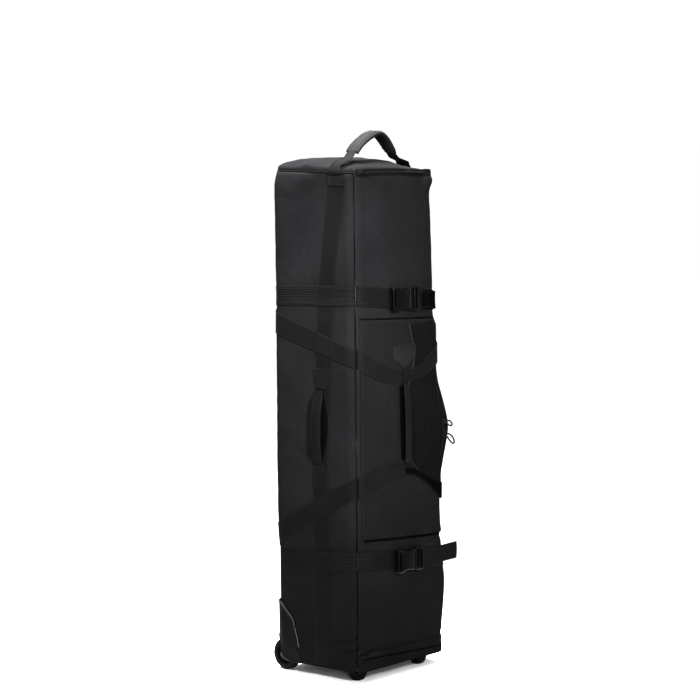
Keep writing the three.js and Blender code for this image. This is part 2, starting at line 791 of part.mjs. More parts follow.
function haulGrip() {
  const place = (z) => doorFace(0, z, 0);
  const upper = [[700, 15, 11, 4], [718, 13, 9, 2.5]];
  const stations = [[542, 13, 9, 2.5], [560, 15, 11, 4], [630, 16, 11, 4.5], ...upper];
  return grip(place, Y_AXIS.clone().negate(), X_AXIS, stations);
}

// ---- assembly -----------------------------------------------------------
add("base_tray", baseTray(), MOULDED);
add("back_panel", backPanel(), POLYESTER);
add("back_stiffener", backStiffener(), BOARD);
add("top_panel", topPanel(), POLYESTER);
add("case_zip_tape", zipTape(1, 7, doorFace), ZIP);
add("inner_strap", innerStrap(), WEB);
add("door_panel", doorPanel(), POLYESTER);
add("door_gusset", doorGusset(), POLYESTER);
add("door_zip_tape", zipTape(-8, 7, doorFace), ZIP);
add("shield_patch", shieldPatch(), MOULDED);
add("pocket_panel", pocketPanel(), POLYESTER);
add("pocket_zip_tape", pocketZipTape(), ZIP);
add("haul_grip", haulGrip(), WEB);
add("side_handle", sideHandle(), WEB);
add("top_handle", topHandle(), WEB);

const WHEEL_PARTS = [
  ["tyre", tyreProfile(), TYRE],
  ["hub", hubProfile(), MOULDED],
  ["bearing", bearingProfile(), STEEL],
];

for (const [side, name] of [[-1, "left"], [1, "right"]]) {
  add(`${name}_side_panel`, sidePanel(side), POLYESTER);
  add(`${name}_spine_strap`, spineStrap(side), WEB);
  add(`${name}_wheel_guard`, wheelGuard(side), MOULDED);
  add(`${name}_wheel_bracket`, wheelBracket(side), MOULDED);
  add(`${name}_axle`, axle(side), STEEL);
  for (const [part, profile, material] of WHEEL_PARTS) {
    const mesh = add(`${name}_${part}`, turnedX(profile, 32), material);
    mesh.position.set(side * WHEEL.x, WHEEL.y, WHEEL.radius);
  }
  const foot = add(`${name}_front_foot`, footBlock(), MOULDED);
  foot.position.set(side * FOOT.x, FOOT.y, 0);
  for (const level of ["upper", "lower"]) {
    const strap = COMPRESSION[level];
    const start = side < 0 ? strap.front[0] : DOOR_RADIUS + DOOR_WRAP + 1;
    const frontLevel = side < 0 ? strap.front[1] : strap.across(halfWidth(strap.front[1]));
    const sideRun = levelStrap(side, [start, frontLevel], strap.rear);
    add(`${name}_side_strap_${level}`, sideRun, WEB);
    const run = band(doorFace, frontStrap(side, strap), DOOR_LIFT, WEB_THICK);
    const frontRun = side > 0 && level === "lower" ? join(run, strapTail()) : run;
    add(`${name}_front_strap_${level}`, frontRun, WEB);
    const haul = HAUL[level];
    const front = side < 0 ? haul.front : [start, ...haul.front.slice(1)];
    add(`${name}_haul_strap_${level}_side`, haulSide(side, { rear: haul.rear, front }), WEB);
    const haulRun = band(doorFace, haulFront(side, haul), overDoor, WEB_THICK);
    add(`${name}_haul_strap_${level}_front`, haulRun, WEB);
  }
}

for (const level of ["upper", "lower"]) {
  const z = COMPRESSION[level].across(0);
  add(`buckle_socket_${level}`, buckleSocket(z), ACETAL);
  add(`buckle_plug_${level}`, bucklePlug(z), ACETAL);
}

add("case_slider_top", caseSlider(DOOR_TOP + 1.5), ZIP);
add("case_slider_bottom", caseSlider(DOOR_BOTTOM - 1), ZIP);

for (const [level, z, up] of POCKET_SLIDERS) {
  const seat = doorFace(POCKET_ZIP.p, z, pocketZipLift(POCKET.middle) + 2.2);
  add(`pocket_slider_${level}`, pocketSlider(up), ZIP).position.copy(seat);
  add(`pocket_pull_${level}`, cordPull(), CORD).position.copy(seat).setY(seat.y - PULL_REACH);
}

// The origin is the middle of the whole case's box, on the ground.
const bounds = new THREE.Box3().setFromObject(group);
const centre = bounds.getCenter(new THREE.Vector3());
group.position.set(-centre.x, -centre.y, -bounds.min.z);

export default group;
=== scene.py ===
"""Looks for a wheeled golf travel case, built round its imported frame.

Shapes are worked out in millimetres, in the case's own axes: +Z up, front towards -Y.
Shape.build() turns them into metres in the frame's place.
"""
import math
from functools import lru_cache

import bmesh
import bpy
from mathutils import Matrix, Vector, noise


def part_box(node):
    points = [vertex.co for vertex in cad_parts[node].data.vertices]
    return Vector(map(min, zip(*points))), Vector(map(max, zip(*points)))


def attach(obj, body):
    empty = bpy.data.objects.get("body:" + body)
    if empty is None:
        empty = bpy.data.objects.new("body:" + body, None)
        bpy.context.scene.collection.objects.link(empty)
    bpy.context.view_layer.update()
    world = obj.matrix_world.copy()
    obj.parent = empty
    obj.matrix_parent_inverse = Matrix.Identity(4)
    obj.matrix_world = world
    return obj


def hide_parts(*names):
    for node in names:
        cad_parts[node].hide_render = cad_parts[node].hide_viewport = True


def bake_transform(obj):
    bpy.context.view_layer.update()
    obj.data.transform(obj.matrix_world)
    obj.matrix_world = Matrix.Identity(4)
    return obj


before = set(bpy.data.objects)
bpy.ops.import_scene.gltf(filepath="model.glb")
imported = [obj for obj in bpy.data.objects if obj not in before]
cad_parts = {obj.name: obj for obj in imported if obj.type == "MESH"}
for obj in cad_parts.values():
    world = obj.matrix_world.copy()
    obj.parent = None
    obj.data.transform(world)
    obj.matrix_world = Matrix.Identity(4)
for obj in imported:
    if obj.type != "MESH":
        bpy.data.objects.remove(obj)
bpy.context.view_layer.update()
PI = math.pi
TURN = 2 * PI

# ---- camera: first, because everything else is seen through it -----------
CAMERA_PLACE = Vector((-5.1618, -4.1416, 1.4822))
CAMERA_BEARING = math.radians(50.903)
CAMERA_DIP = math.radians(5.868)
LENS = 137.65


def make_camera():
    data = bpy.data.cameras.new("camera")
    data.lens = LENS
    data.sensor_width = 36
    data.clip_end = 60
    camera = bpy.data.objects.new("camera", data)
    bpy.context.scene.collection.objects.link(camera)
    across, along = math.sin(CAMERA_BEARING), math.cos(CAMERA_BEARING)
    look = Vector((across, along, -math.tan(CAMERA_DIP)))
    camera.location = CAMERA_PLACE
    camera.rotation_euler = look.to_track_quat("-Z", "Y").to_euler()
    bpy.context.scene.camera = camera


make_camera()

# ---- driving dimensions, from the frame -----------------------------------
WHEEL_X, WHEEL_Y, WHEEL_R = 138, 135, 40
SIDES = {"left": -1, "right": 1}


def middle(node):
    low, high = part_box(node)
    return (low + high) / 2


ORIGIN_Y = middle("left_axle").y * 1000 - WHEEL_Y
top_low, top_high = (corner * 1000 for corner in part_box("top_panel"))
base_low, base_high = (corner * 1000 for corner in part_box("base_tray"))
BODY_BOTTOM, BODY_TOP = 44, top_low.z - 1
CROWN = top_high.z
HALF_LOW, HALF_TOP = base_high.x + 1, top_high.x
FRONT_LOW, FRONT_TOP = base_low.y - ORIGIN_Y - 0.6, top_low.y - ORIGIN_Y
BACK_LOW, BACK_TOP = 147, top_high.y - ORIGIN_Y
DOOR_BOTTOM, DOOR_TOP = 74, BODY_TOP
REAR_RADIUS, DOOR_RADIUS, DOOR_WRAP = 34, 28, 14
HINGE_SETBACK = 5.6
BULGE = 14
PANEL = 4
SKIRT = 30  # lower edge of the fabric, round the base
WEBBING, WEB = 50, 1.6


# ---- small maths -----------------------------------------------------------
def mix(a, b, t):
    return a + (b - a) * t


def clamp(t, low=0.0, high=1.0):
    return min(max(t, low), high)


def smooth(t):
    t = clamp(t)
    return t * t * (3 - 2 * t)


def pulse(x, centre, width):
    return math.exp(-(((x - centre) / width) ** 2))


def quarter_round(t):
    """A rounded edge's height: 0 at its foot and 1 from t = 1 on."""
    return math.sqrt(clamp(1 - (1 - clamp(t)) ** 2))


def steps(a, b, count):
    return [mix(a, b, i / count) for i in range(count + 1)]


def along(points, at):
    """A value read off a short list of (place, value) points, straight between them."""
    if at <= points[0][0]:
        return points[0][1]
    for (a, low), (b, high) in zip(points, points[1:]):
        if at <= b:
            return mix(low, high, (at - a) / (b - a))
    return points[-1][1]


def lumps(x, y, z, size, seed=0.0):
    """Smooth noise from about -1 to 1, with humps of that size in millimetres."""
    return noise.noise(Vector((x / size + seed, y / size - seed, z / size + 2 * seed)))


# ---- the case's surfaces ----------------------------------------------------
def rise(z):
    return (z - BODY_BOTTOM) / (BODY_TOP - BODY_BOTTOM)


def half_width(z):
    return mix(HALF_LOW, HALF_TOP, rise(z))


def front_y(z):
    return mix(FRONT_LOW, FRONT_TOP, rise(z))


def back_y(z):
    return mix(BACK_LOW, BACK_TOP, rise(z))


def flat_depth(z):
    return back_y(z) - REAR_RADIUS - front_y(z)


REAR_ARC = REAR_RADIUS * PI / 2
DOOR_ARC = DOOR_RADIUS * PI / 2


def bulge(x, z):
    across = max(1 - (x / half_width(z)) ** 2, 0)
    return BULGE * across * (1 - (2 * clamp(rise(z)) - 1) ** 4)


def far_swell(z):
    """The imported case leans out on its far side, low down."""
    return 11 * pulse(z, 225, 120) + 3 * pulse(z, 480, 80) - 7 * smooth((z - 1200) / 46) ** 2


def wrap(side, u, z, lift):
    """Round a side: u runs back from the front edge, round the rear corner, in across the back."""
    lift += far_swell(z) * smooth((210 - u) / 160) if side > 0 else 0
    flat, w, b, r = flat_depth(z), half_width(z), back_y(z), REAR_RADIUS
    if u <= flat:
        return Vector((side * (w + lift), front_y(z) + u, z))
    if u >= flat + REAR_ARC:
        return Vector((side * (w - r - (u - flat - REAR_ARC)), b + lift, z))
    a = (u - flat) / r
    return Vector((side * (w - r + (r + lift) * math.cos(a)), b - r + (r + lift) * math.sin(a), z))


def door_face(p, z, lift):
    """Over the door: p is x across the front, then runs on round the far edge and back."""
    start = half_width(z) - DOOR_RADIUS
    lift += far_swell(z) * smooth((p - 20) / 130)
    if p <= start:
        return Vector((p, front_y(z) - bulge(p, z) - lift, z))
    drop, reach = bulge(start, z), DOOR_RADIUS + lift
    a = min((p - start) / DOOR_RADIUS, PI / 2)
    back = max(p - start - DOOR_ARC, 0)
    y = front_y(z) - drop * math.cos(a) + DOOR_RADIUS - reach * math.cos(a) + back
    return Vector((start + reach * math.sin(a), y, z))


def door_edge(z):
    return half_width(z) - DOOR_RADIUS + DOOR_ARC + DOOR_WRAP


# Strap lines. Levels on the front fall slightly towards the far side.
SPINE = [(56, 117), (280, 111), (514, 117), (760, 104), (976, 92), (1150, 70), (1243, 60)]
FAR_SPINE = 95


def spine_u(side, z):
    return along(SPINE, z) if side < 0 else max(along(SPINE, z), FAR_SPINE)


COMPRESSION = {
    "upper": {"rear": (290, 938), "front": 951, "slope": 0.092, "from": 158},
    "lower": {"rear": (248, 283), "front": 304, "slope": 0.085, "from": 165},
}
HAUL = {
    "upper": {"rear": (848, 905), "front": (774, 822), "middle": 745},
    "lower": {"rear": (314, 370), "front": (456, 508), "middle": 516},
}
FAR_LOWER = [(-6, 512), (30, 507), (55, 496), (100, 470), (150, 444), (215, 432)]
SIDE_START = HINGE_SETBACK + 3


def level_front(level, x):
    strap = COMPRESSION[level]
    return strap["front"] - strap["slope"] * (x + strap["from"])


def level_side(level, u):
    strap = COMPRESSION[level]
    end, z = strap["rear"]
    return mix(strap["front"], z, (u - SIDE_START) / (end - SIDE_START))


# ---- soft shapes: how far the fabric stands off the plain surfaces -----------
def side_height(side, u, z):
    spine = spine_u(side, z)
    front = math.sin(PI * clamp((u - 6) / (spine - 31))) if u < spine - 25 else 0
    rear = math.sin(PI * clamp((u - spine - 25) / (flat_depth(z) + 60 - spine)))
    swell = 3.2 * front + 4.2 * max(rear, 0)
    tight = 3.2 * pulse(z, level_side("upper", u), 34) + 3.0 * pulse(z, level_side("lower", u), 34)
    cloth = 1.7 * lumps(u, 40 * side, z * 0.45, 62, 3.1) + 0.7 * lumps(u, 9 * side, z, 24, 7.7)
    top = 2.6 * pulse(z, BODY_TOP, 7) + 1.4 * pulse(z, BODY_TOP - 60, 30) * lumps(u, 0, z * 3, 60, 1.0)
    seam = 4.8 * math.exp(-((u - 9) / 6)) - 1.6 * pulse(u, 26, 10) if side < 0 else 0
    if side < 0:
        lean_in = smooth((u - 150) / 110)
        top += lean_in * (5 * smooth((z - 1170) / 76) ** 2 + 6 * smooth((440 - z) / 160))
    folds = 7.5 * fold(u, z, (-10, 122), (88, 98), 6) + 6.5 * fold(u, z, (-10, 90), (76, 74), 6)
    folds += 4.5 * fold(u, z, (70, 1245), (210, 1165), 13) + 3.5 * fold(u, z, (84, 1246), (150, 1120), 9)
    lean = 2.2 * fold(u, z, (20, 700), (96, 640), 12) + 1.8 * fold(u, z, (140, 520), (230, 600), 16)
    return swell - tight + cloth - top - seam - folds - lean + 3.0 * pulse(z, 1215, 26) * rear


def fold(a, z, start, end, width):
    """A shallow crease from start to end, fading out at its ends."""
    run, rise_by = end[0] - start[0], end[1] - start[1]
    length = math.hypot(run, rise_by)
    t = ((a - start[0]) * run + (z - start[1]) * rise_by) / length**2
    off = ((a - start[0]) * rise_by - (z - start[1]) * run) / length
    return math.exp(-((off / width) ** 2)) * math.sin(PI * clamp(t))


FLAP_THICK = 2.2


def flap_top(p):
    return 885 - 0.05 * p


def flap_bottom(p):
    return 347 - 0.062 * p


def flap_layer(p, z):
    """How far the big flat front pocket stands off the door."""
    inside = min(flap_top(p) - z, z - flap_bottom(p), p + half_width(z) - 9)
    return FLAP_THICK * smooth((inside + 1) / 3)


def corner_bump(p, z):
    """The stuffed top far corner of the door, where the zip rolls outwards."""
    return 15 * pulse(z, 1237, 24) * smooth((p - 100) / 36)


def door_height(p, z):
    w = half_width(z)
    s = p + w
    tight = 3.4 * pulse(z, level_front("upper", p), 30) + 3.4 * pulse(z, level_front("lower", p), 30)
    cloth = 1.9 * lumps(p, 70, z * 0.5, 70, 5.3) + 0.6 * lumps(p, 3, z, 26, 2.9)
    near = 3.8 * math.exp(-max(s - 0.6, 0) / 4.5) - 1.4 * pulse(s, 18, 9)
    ends = 3.2 * pulse(z, DOOR_TOP, 8) + 3.6 * pulse(z, DOOR_BOTTOM, 9)
    far = 1.6 * pulse(p, door_edge(z), 6)
    body = 2.6 * math.sin(PI * clamp(s / (2 * w))) * (0.6 + 0.4 * math.sin(rise(z) * 9))
    lip = 3.2 * smooth((p + 158) / 20) * pulse(z, flap_bottom(p) - 8, 9)
    slack = lip + 2.4 * fold(p, z, (-150, 560), (-20, 520), 16)
    slack += 2.0 * fold(p, z, (-150, 330), (-60, 300), 9)
    side = 5.0 * pulse(p, 1, 19) * smooth((z - 520) / 30) * smooth((740 - z) / 30)
    side += 2.8 * pulse(p, -46, 13) * smooth((z - 540) / 60) * smooth((745 - z) / 60)
    return body - tight + cloth - near - ends - far - slack - side + corner_bump(p, z)


def side_skin(side):
    return lambda u, z, lift: wrap(side, u, z, lift + side_height(side, u, z))


def door_skin(p, z, lift):
    return door_face(p, z, lift + door_height(p, z))


CORNER = 6


def near_run(s, z, lift):
    """One surface round the near front corner: s < 0 on the side, s > 0 on the door."""
    if s <= -CORNER:
        return wrap(-1, -s, z, lift + side_height(-1, max(-s, 9), z))
    w = half_width(z)
    if s >= CORNER:
        return door_face(s - w, z, lift + door_height(max(s, 9) - w, z))
    t = (s + CORNER) / (2 * CORNER)
    h = mix(side_height(-1, 9, z), door_height(9 - w, z), t)
    a = PI + t * PI / 2
    reach = CORNER + lift + h
    return Vector((-w + CORNER + reach * math.cos(a), front_y(z) + CORNER + reach * math.sin(a), z))


# ---- pocket on the far half of the door --------------------------------------
POCKET = {"left": 19, "right": 150, "swell": 27, "middle": 606, "turn": 17}
POCKET_LEFT = [(452, 108), (480, 83), (528, 27), (549, 19), (723, 19), (761, 34), (800, 45), (872, 22)]


def pocket_height(p, z):
    if p < POCKET["left"] - 6 or p > POCKET["right"] + 6:
        return 0
    across = math.sin(PI * clamp((p - POCKET["left"]) / 190))
    return 3 + POCKET["swell"] * across * pulse(z, POCKET["middle"], 80)


def settle(p):
    """How far the soft top has sunk towards the far front corner."""
    return 8 * smooth((p.x + 40) / 190) * smooth((90 - p.y) / 170) * smooth((p.z - 1120) / 120)


# ---- meshes ------------------------------------------------------------------
class Shape:
    """Faces gathered in millimetres before they become one object."""

    def __init__(self):
        self.points, self.faces, self.kinds, self.coords = [], [], [], []

    def add(self, points, faces, kind=0, coords=None):
        start = len(self.points)
        self.points += [Vector(p) for p in points]
        self.coords += coords or [(p[0] + p[1], p[2]) for p in points]
        self.faces += [[start + i for i in face] for face in faces]
        self.kinds += kind if isinstance(kind, list) else [kind] * len(faces)

    def slab(self, rows, kinds=(0, 0, 0)):
        """A closed sheet. Each row holds its outer points, its inner points and its places on the
        cloth; kinds are the materials of the outside, the inside and the edges."""
        outer, inner, coords = ([item for part in side for item in part] for side in zip(*rows))
        count, columns = len(rows), len(rows[0][0])
        size = count * columns
        faces, kind, edges = [], [], []
        for i in range(count - 1):
            for j in range(columns - 1):
                a = i * columns + j
                ring = [a, a + 1, a + columns + 1, a + columns]
                faces += [ring, [size + k for k in reversed(ring)]]
                kind += [kinds[0], kinds[1]]
        for j in range(columns - 1):
            last = size - columns + j
            edges += [(j + 1, j), (last, last + 1)]
        for i in range(count - 1):
            end = (i + 1) * columns
            edges += [(end - columns, end), (end + columns - 1, end - 1)]
        faces += [[a, b, size + b, size + a] for a, b in edges]
        kind += [kinds[2]] * len(edges)
        self.add(outer + inner, faces, kind, coords + coords)

    def loft(self, rings, kind=0, closed=False):
        """A skin through rings of equal size, capped at both ends unless it closes on itself."""
        count = len(rings[0])
        points, coords, run = [], [], 0.0
        for i, ring in enumerate(rings):
            run += (ring[0] - rings[i - 1][0]).length if i else 0
            points += ring
            coords += [(run, 40 * j / count) for j in range(count)]
        faces = []
        for i in range(len(rings) if closed else len(rings) - 1):
            k = (i + 1) % len(rings)
            for j in range(count):
                m = (j + 1) % count
                faces.append([i * count + j, i * count + m, k * count + m, k * count + j])
        if not closed:
            faces += [list(range(count))[::-1], [(len(rings) - 1) * count + j for j in range(count)]]
        self.add(points, faces, kind, coords)

    def tube(self, line, radius, kind=0, sides=8, closed=False):
        """A round rod along a line of points; radius may be a function of 0..1 along it."""
        line = [Vector(p) for p in line]
        last = len(line) - 1
        up, rings = None, []
        for i, p in enumerate(line):
            before = line[i - 1] if i or closed else line[0]
            after = line[(i + 1) % len(line)] if i < last or closed else line[last]
            ahead = (after - before).normalized()
            if up is None:
                up = ahead.cross(Vector((0, 0, 1)) if abs(ahead.z) < 0.9 else Vector((1, 0, 0)))
            up = (up - ahead * up.dot(ahead)).normalized()
            side = ahead.cross(up)
            r = radius(i / last) if callable(radius) else radius
            angles = [TURN * k / sides for k in range(sides)]
            rings.append([p + r * (math.cos(a) * up + math.sin(a) * side) for a in angles])
        self.loft(rings, kind, closed)

    def stitches(self, line, kind=1, pitch=5.0, length=3.4, radius=0.4):
        """A row of thread along a line of points."""
        line = walk(line, 1.25)
        stride, span = round(pitch / 1.25), round(length / 1.25)
        for i in range(0, len(line) - span - 1, stride):
            self.tube([line[i], line[i + span]], radius, kind, 4)

    def plate(self, outlines, place, low, high, bevel=0.8, kind=0):
        """A moulded plate with rounded edges. outlines[0] is its edge and the rest are holes, in its
        own plane; place(a, b, c) says where a point of it is."""
        curve = bpy.data.curves.new("outline", "CURVE")
        curve.dimensions, curve.fill_mode = "2D", "BOTH"
        curve.extrude, curve.bevel_depth = (high - low) / 2 - bevel, bevel
        curve.bevel_resolution, curve.offset = 2, -bevel
        for outline in outlines:
            spline = curve.splines.new("POLY")
            spline.points.add(len(outline) - 1)
            for point, (a, b) in zip(spline.points, outline):
                point.co = (a, b, 0, 1)
            spline.use_cyclic_u = True
        holder = bpy.data.objects.new("outline", curve)
        mesh = bpy.data.meshes.new_from_object(holder)
        centre = (low + high) / 2
        points = [place(v.co.x, v.co.y, v.co.z + centre) for v in mesh.vertices]
        self.add(points, [list(f.vertices) for f in mesh.polygons], kind)
        bpy.data.objects.remove(holder)
        bpy.data.curves.remove(curve)
        bpy.data.meshes.remove(mesh)

    def build(self, name, body, slot, materials, replaces=(), sharp=None):
        mesh = bpy.data.meshes.new(name)
        place = [(p.x / 1000, (p.y + ORIGIN_Y) / 1000, (p.z - settle(p)) / 1000) for p in self.points]
        mesh.from_pydata(place, [], self.faces)
        for material in materials:
            mesh.materials.append(material)
        mesh.polygons.foreach_set("material_index", self.kinds)
        layer = mesh.uv_layers.new(name="cloth")
        for loop in mesh.loops:
            u, v = self.coords[loop.vertex_index]
            layer.data[loop.index].uv = (u / 1000, v / 1000)
        work = bmesh.new()
        work.from_mesh(mesh)
        bmesh.ops.remove_doubles(work, verts=work.verts, dist=2e-7)
        bmesh.ops.recalc_face_normals(work, faces=work.faces)
        work.to_mesh(mesh)
        work.free()
        mesh.shade_smooth()
        if sharp is not None:
            mesh.set_sharp_from_angle(angle=math.radians(sharp))
        item = bpy.data.objects.new(name, mesh)
        bpy.context.scene.collection.objects.link(item)
        if body:
            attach(item, body)
        if replaces:
            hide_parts(*replaces)
        return item


def walk(line, step):
    """Points at even steps along a line."""
    line = [Vector(p) for p in line]
    out, left = [line[0]], step
    for a, b in zip(line, line[1:]):
        length = (b - a).length
        while length > 0 and left <= length:
            out.append(a.lerp(b, left / length))
            left += step
        left -= length
    return out


def rounded(points, radius, turns=4):
    """An outline with its corners rounded: an arc of points in place of each corner."""
    out = []
    for i, corner in enumerate(points):
        corner = Vector(corner)
        before, after = Vector(points[i - 1]), Vector(points[(i + 1) % len(points)])
        a, b = (before - corner), (after - corner)
        reach = min(radius, a.length / 2.1, b.length / 2.1)
        start, end = corner + a.normalized() * reach, corner + b.normalized() * reach
        for t in steps(0, 1, turns):
            out.append(tuple(start.lerp(corner, t).lerp(corner.lerp(end, t), t)))
    return out


def rectangle(x0, x1, y0, y1):
    return [(x0, y0), (x1, y0), (x1, y1), (x0, y1)]


ACROSS = (0, 0.02, 0.07, 0.2, 0.35, 0.5, 0.65, 0.8, 0.93, 0.98, 1)


def band(places, centre, half=WEBBING / 2):
    """The two edge points of a strap at each place along it, with its middle at centre(place)."""
    return [((a, centre(a) - half), (a, centre(a) + half)) for a in places]


def ribbon(shape, surface, pairs, lift, thick=WEB, seams=True, kinds=(0, 1), width=WEBBING):
    """Webbing on a surface. Each pair holds its two edge points there; lift may follow the place."""
    rows, run, last = [], 0.0, None
    lines = {0.07: [], 0.93: []}
    for (a0, z0), (a1, z1) in pairs:
        outer, inner, coords = [], [], []
        centre = surface((a0 + a1) / 2, (z0 + z1) / 2, 0)
        run += (centre - last).length if last else 0
        last = centre
        for t in ACROSS:
            a, z = mix(a0, a1, t), mix(z0, z1, t)
            base = lift(a, z) if callable(lift) else lift
            edge = min(t, 1 - t) * width
            crown = quarter_round(edge / 1.4)
            outer.append(surface(a, z, base + thick * (0.55 + 0.45 * crown)))
            inner.append(surface(a, z, base + thick * 0.45 * (1 - crown)))
            coords.append((run, t * width))
            if t in lines:
                lines[t].append(surface(a, z, base + thick + 0.15))
        rows.append((outer, inner, coords))
    shape.slab(rows, (kinds[0],) * 3)
    if seams:
        for line in lines.values():
            shape.stitches(line, kinds[1])


def box_stitch(shape, surface, a0, a1, z0, z1, lift, kind=1):
    """A square of stitching with a cross in it."""
    corners = [(a0, z0), (a1, z0), (a1, z1), (a0, z1), (a0, z0), (a1, z1)]
    paths = [corners, [(a0, z1), (a1, z0)]]
    for path in paths:
        line = []
        for (a, z), (b, y) in zip(path, path[1:]):
            line += [surface(mix(a, b, t), mix(z, y, t), lift) for t in steps(0, 1, 8)]
        shape.stitches(line, kind, 4.0, 2.6)


# ---- materials -----------------------------------------------------------------
class Paint:
    """A small helper to wire up one procedural material."""

    def __init__(self, name):
        self.material = bpy.data.materials.new(name)
        self.material.use_nodes = True
        self.tree = self.material.node_tree
        self.shader = self.tree.nodes["Principled BSDF"]

    def node(self, kind, settings=(), **inputs):
        node = self.tree.nodes.new(kind)
        for key, value in dict(settings).items():
            setattr(node, key, value)
        for key, value in inputs.items():
            self.put(node.inputs[key.replace("_", " ")], value)
        return node

    def put(self, socket, value):
        if isinstance(value, bpy.types.NodeSocket):
            self.tree.links.new(value, socket)
        else:
            socket.default_value = value

    def math(self, operation, a, b=0.0):
        node = self.tree.nodes.new("ShaderNodeMath")
        node.operation = operation
        self.put(node.inputs[0], a)
        self.put(node.inputs[1], b)
        return node.outputs[0]

    def cloth(self):
        return self.node("ShaderNodeUVMap", {"uv_map": "cloth"}).outputs["UV"]

    def place(self):
        return self.node("ShaderNodeTexCoord").outputs["Object"]

    def noise(self, scale, where=None, detail=3.0, rough=0.55):
        inputs = {"Vector": where or self.place(), "Scale": scale, "Detail": detail, "Roughness": rough}
        return self.node("ShaderNodeTexNoise", **inputs).outputs["Fac"]

    def bands(self, pitch, direction, where=None, bend=0.0):
        inputs = {"Vector": where or self.cloth(), "Scale": TURN / (20 * pitch), "Distortion": bend}
        settings = {"wave_type": "BANDS", "bands_direction": direction, "wave_profile": "SIN"}
        return self.node("ShaderNodeTexWave", settings, **inputs).outputs["Fac"]

    def shades(self, factor, dark, light, low=0.3, high=0.7):
        ramp = self.node("ShaderNodeValToRGB", Fac=factor)
        ramp.color_ramp.elements[0].position = low
        ramp.color_ramp.elements[1].position = high
        ramp.color_ramp.elements[0].color = (*dark, 1)
        ramp.color_ramp.elements[1].color = (*light, 1)
        return ramp.outputs["Color"]

    def painted_low_shade(self):
        """Painted shade: darker cloth low down, towards the ground, worked out from height."""
        height = self.node("ShaderNodeSeparateXYZ", Vector=self.place()).outputs["Z"]
        near_floor = self.node("ShaderNodeMapRange", Value=height)
        near_floor.inputs["From Min"].default_value = 0.1
        near_floor.inputs["From Max"].default_value = 0.5
        return self.shades(near_floor.outputs["Result"], (0.74, 0.74, 0.74), (1, 1, 1), 0.0, 1.0)

    def between(self, factor, low, high):
        node = self.node("ShaderNodeMapRange", Value=factor)
        node.inputs["To Min"].default_value = low
        node.inputs["To Max"].default_value = high
        return node.outputs["Result"]

    def multiply(self, a, b, amount=1.0):
        node = self.node("ShaderNodeMix", {"data_type": "RGBA", "blend_type": "MULTIPLY"})
        node.inputs["Factor"].default_value = amount
        self.put(node.inputs[6], a)
        self.put(node.inputs[7], b)
        return node.outputs[2]

    def bump(self, height, distance, strength=0.6, under=None):
        node = self.node("ShaderNodeBump", Height=height, Distance=distance, Strength=strength)
        if under:
            self.tree.links.new(under, node.inputs["Normal"])
        return node.outputs["Normal"]

    def finish(self, colour, roughness, normal=None, **plain):
        self.put(self.shader.inputs["Base Color"], colour)
        self.put(self.shader.inputs["Roughness"], roughness)
        if normal:
            self.tree.links.new(normal, self.shader.inputs["Normal"])
        for key, value in plain.items():
            self.shader.inputs[key.replace("_", " ")].default_value = value
        return self.material


def tint(level, blue=0.0):
    return (level, level * (1 - 0.25 * blue), level * (1 + blue))


def polyester(name, level, pitch=0.0011, blue=0.04, sheen=0.01):
    """Plain-weave fabric: warp and weft, cloudy dye, slightly rubbed high spots."""
    paint = Paint(name)
    warp, weft = paint.bands(pitch, "X", bend=0.4), paint.bands(pitch, "Y", bend=0.4)
    weave = paint.math("MULTIPLY", warp, weft)
    clouds = paint.noise(7.0, detail=4.0)
    fine = paint.noise(230.0, detail=4.0, rough=0.75)
    base = paint.shades(clouds, tint(level * 0.85, blue), tint(level * 1.14, blue))
    yarn = paint.shades(weave, (0.68, 0.68, 0.68), (1, 1, 1), 0.0, 0.8)
    speck = paint.shades(fine, (0.74, 0.74, 0.75), (1.2, 1.2, 1.2), 0.36, 0.64)
    # The last factor is painted shade, darkening the cloth low down.
    colour = paint.multiply(paint.multiply(paint.multiply(base, yarn), speck), paint.painted_low_shade())
    crumple = paint.bump(paint.noise(55.0, detail=5.0), 0.0012, 0.25)
    normal = paint.bump(weave, 0.00025, 0.5, crumple)
    rough = paint.between(clouds, 0.6, 0.75)
    plain = {"Sheen_Weight": sheen, "Sheen_Roughness": 0.5, "Specular_IOR_Level": 0.0}
    return paint.finish(colour, rough, normal, **plain)


def webbing(name, level, pitch=0.0019, sheen=0.01, gloss=0.03):
    """Heavy woven strap: ribs across its width, and fine lines along it."""
    paint = Paint(name)
    ribs = paint.bands(pitch, "X", bend=0.6)
    lines = paint.bands(0.0031, "Y")
    weave = paint.math("MULTIPLY", ribs, paint.between(lines, 0.6, 1.0))
    clouds = paint.noise(16.0)
    base = paint.shades(clouds, tint(level * 0.85), tint(level * 1.15))
    colour = paint.multiply(base, paint.shades(weave, (0.6, 0.6, 0.6), (1, 1, 1), 0.0, 0.9))
    # The last factor is painted shade, darkening the webbing low down.
    colour = paint.multiply(colour, paint.painted_low_shade())
    normal = paint.bump(weave, 0.0004, 0.6, paint.bump(clouds, 0.001, 0.15))
    plain = {"Sheen_Weight": sheen, "Sheen_Roughness": 0.5, "Specular_IOR_Level": gloss}
    return paint.finish(colour, paint.between(clouds, 0.55, 0.7), normal, **plain)


def moulded(name, level, rough=0.5, grain=1400.0, wear=1.7):
    """Moulded plastic with a fine eroded texture and paler, rubbed edges."""
    paint = Paint(name)
    worn = paint.node("ShaderNodeNewGeometry").outputs["Pointiness"]
    clouds = paint.noise(30.0)
    base = paint.shades(clouds, tint(level * 0.85), tint(level * 1.12))
    edge = paint.shades(worn, (1, 1, 1), (wear, wear, wear), 0.5, 0.58)
    texture = paint.noise(grain, detail=2.0)
    normal = paint.bump(texture, 0.00018, 0.5, paint.bump(clouds, 0.0006, 0.1))
    rough = paint.between(clouds, rough - 0.05, rough + 0.07)
    return paint.finish(paint.multiply(base, edge), rough, normal, Specular_IOR_Level=0.05)


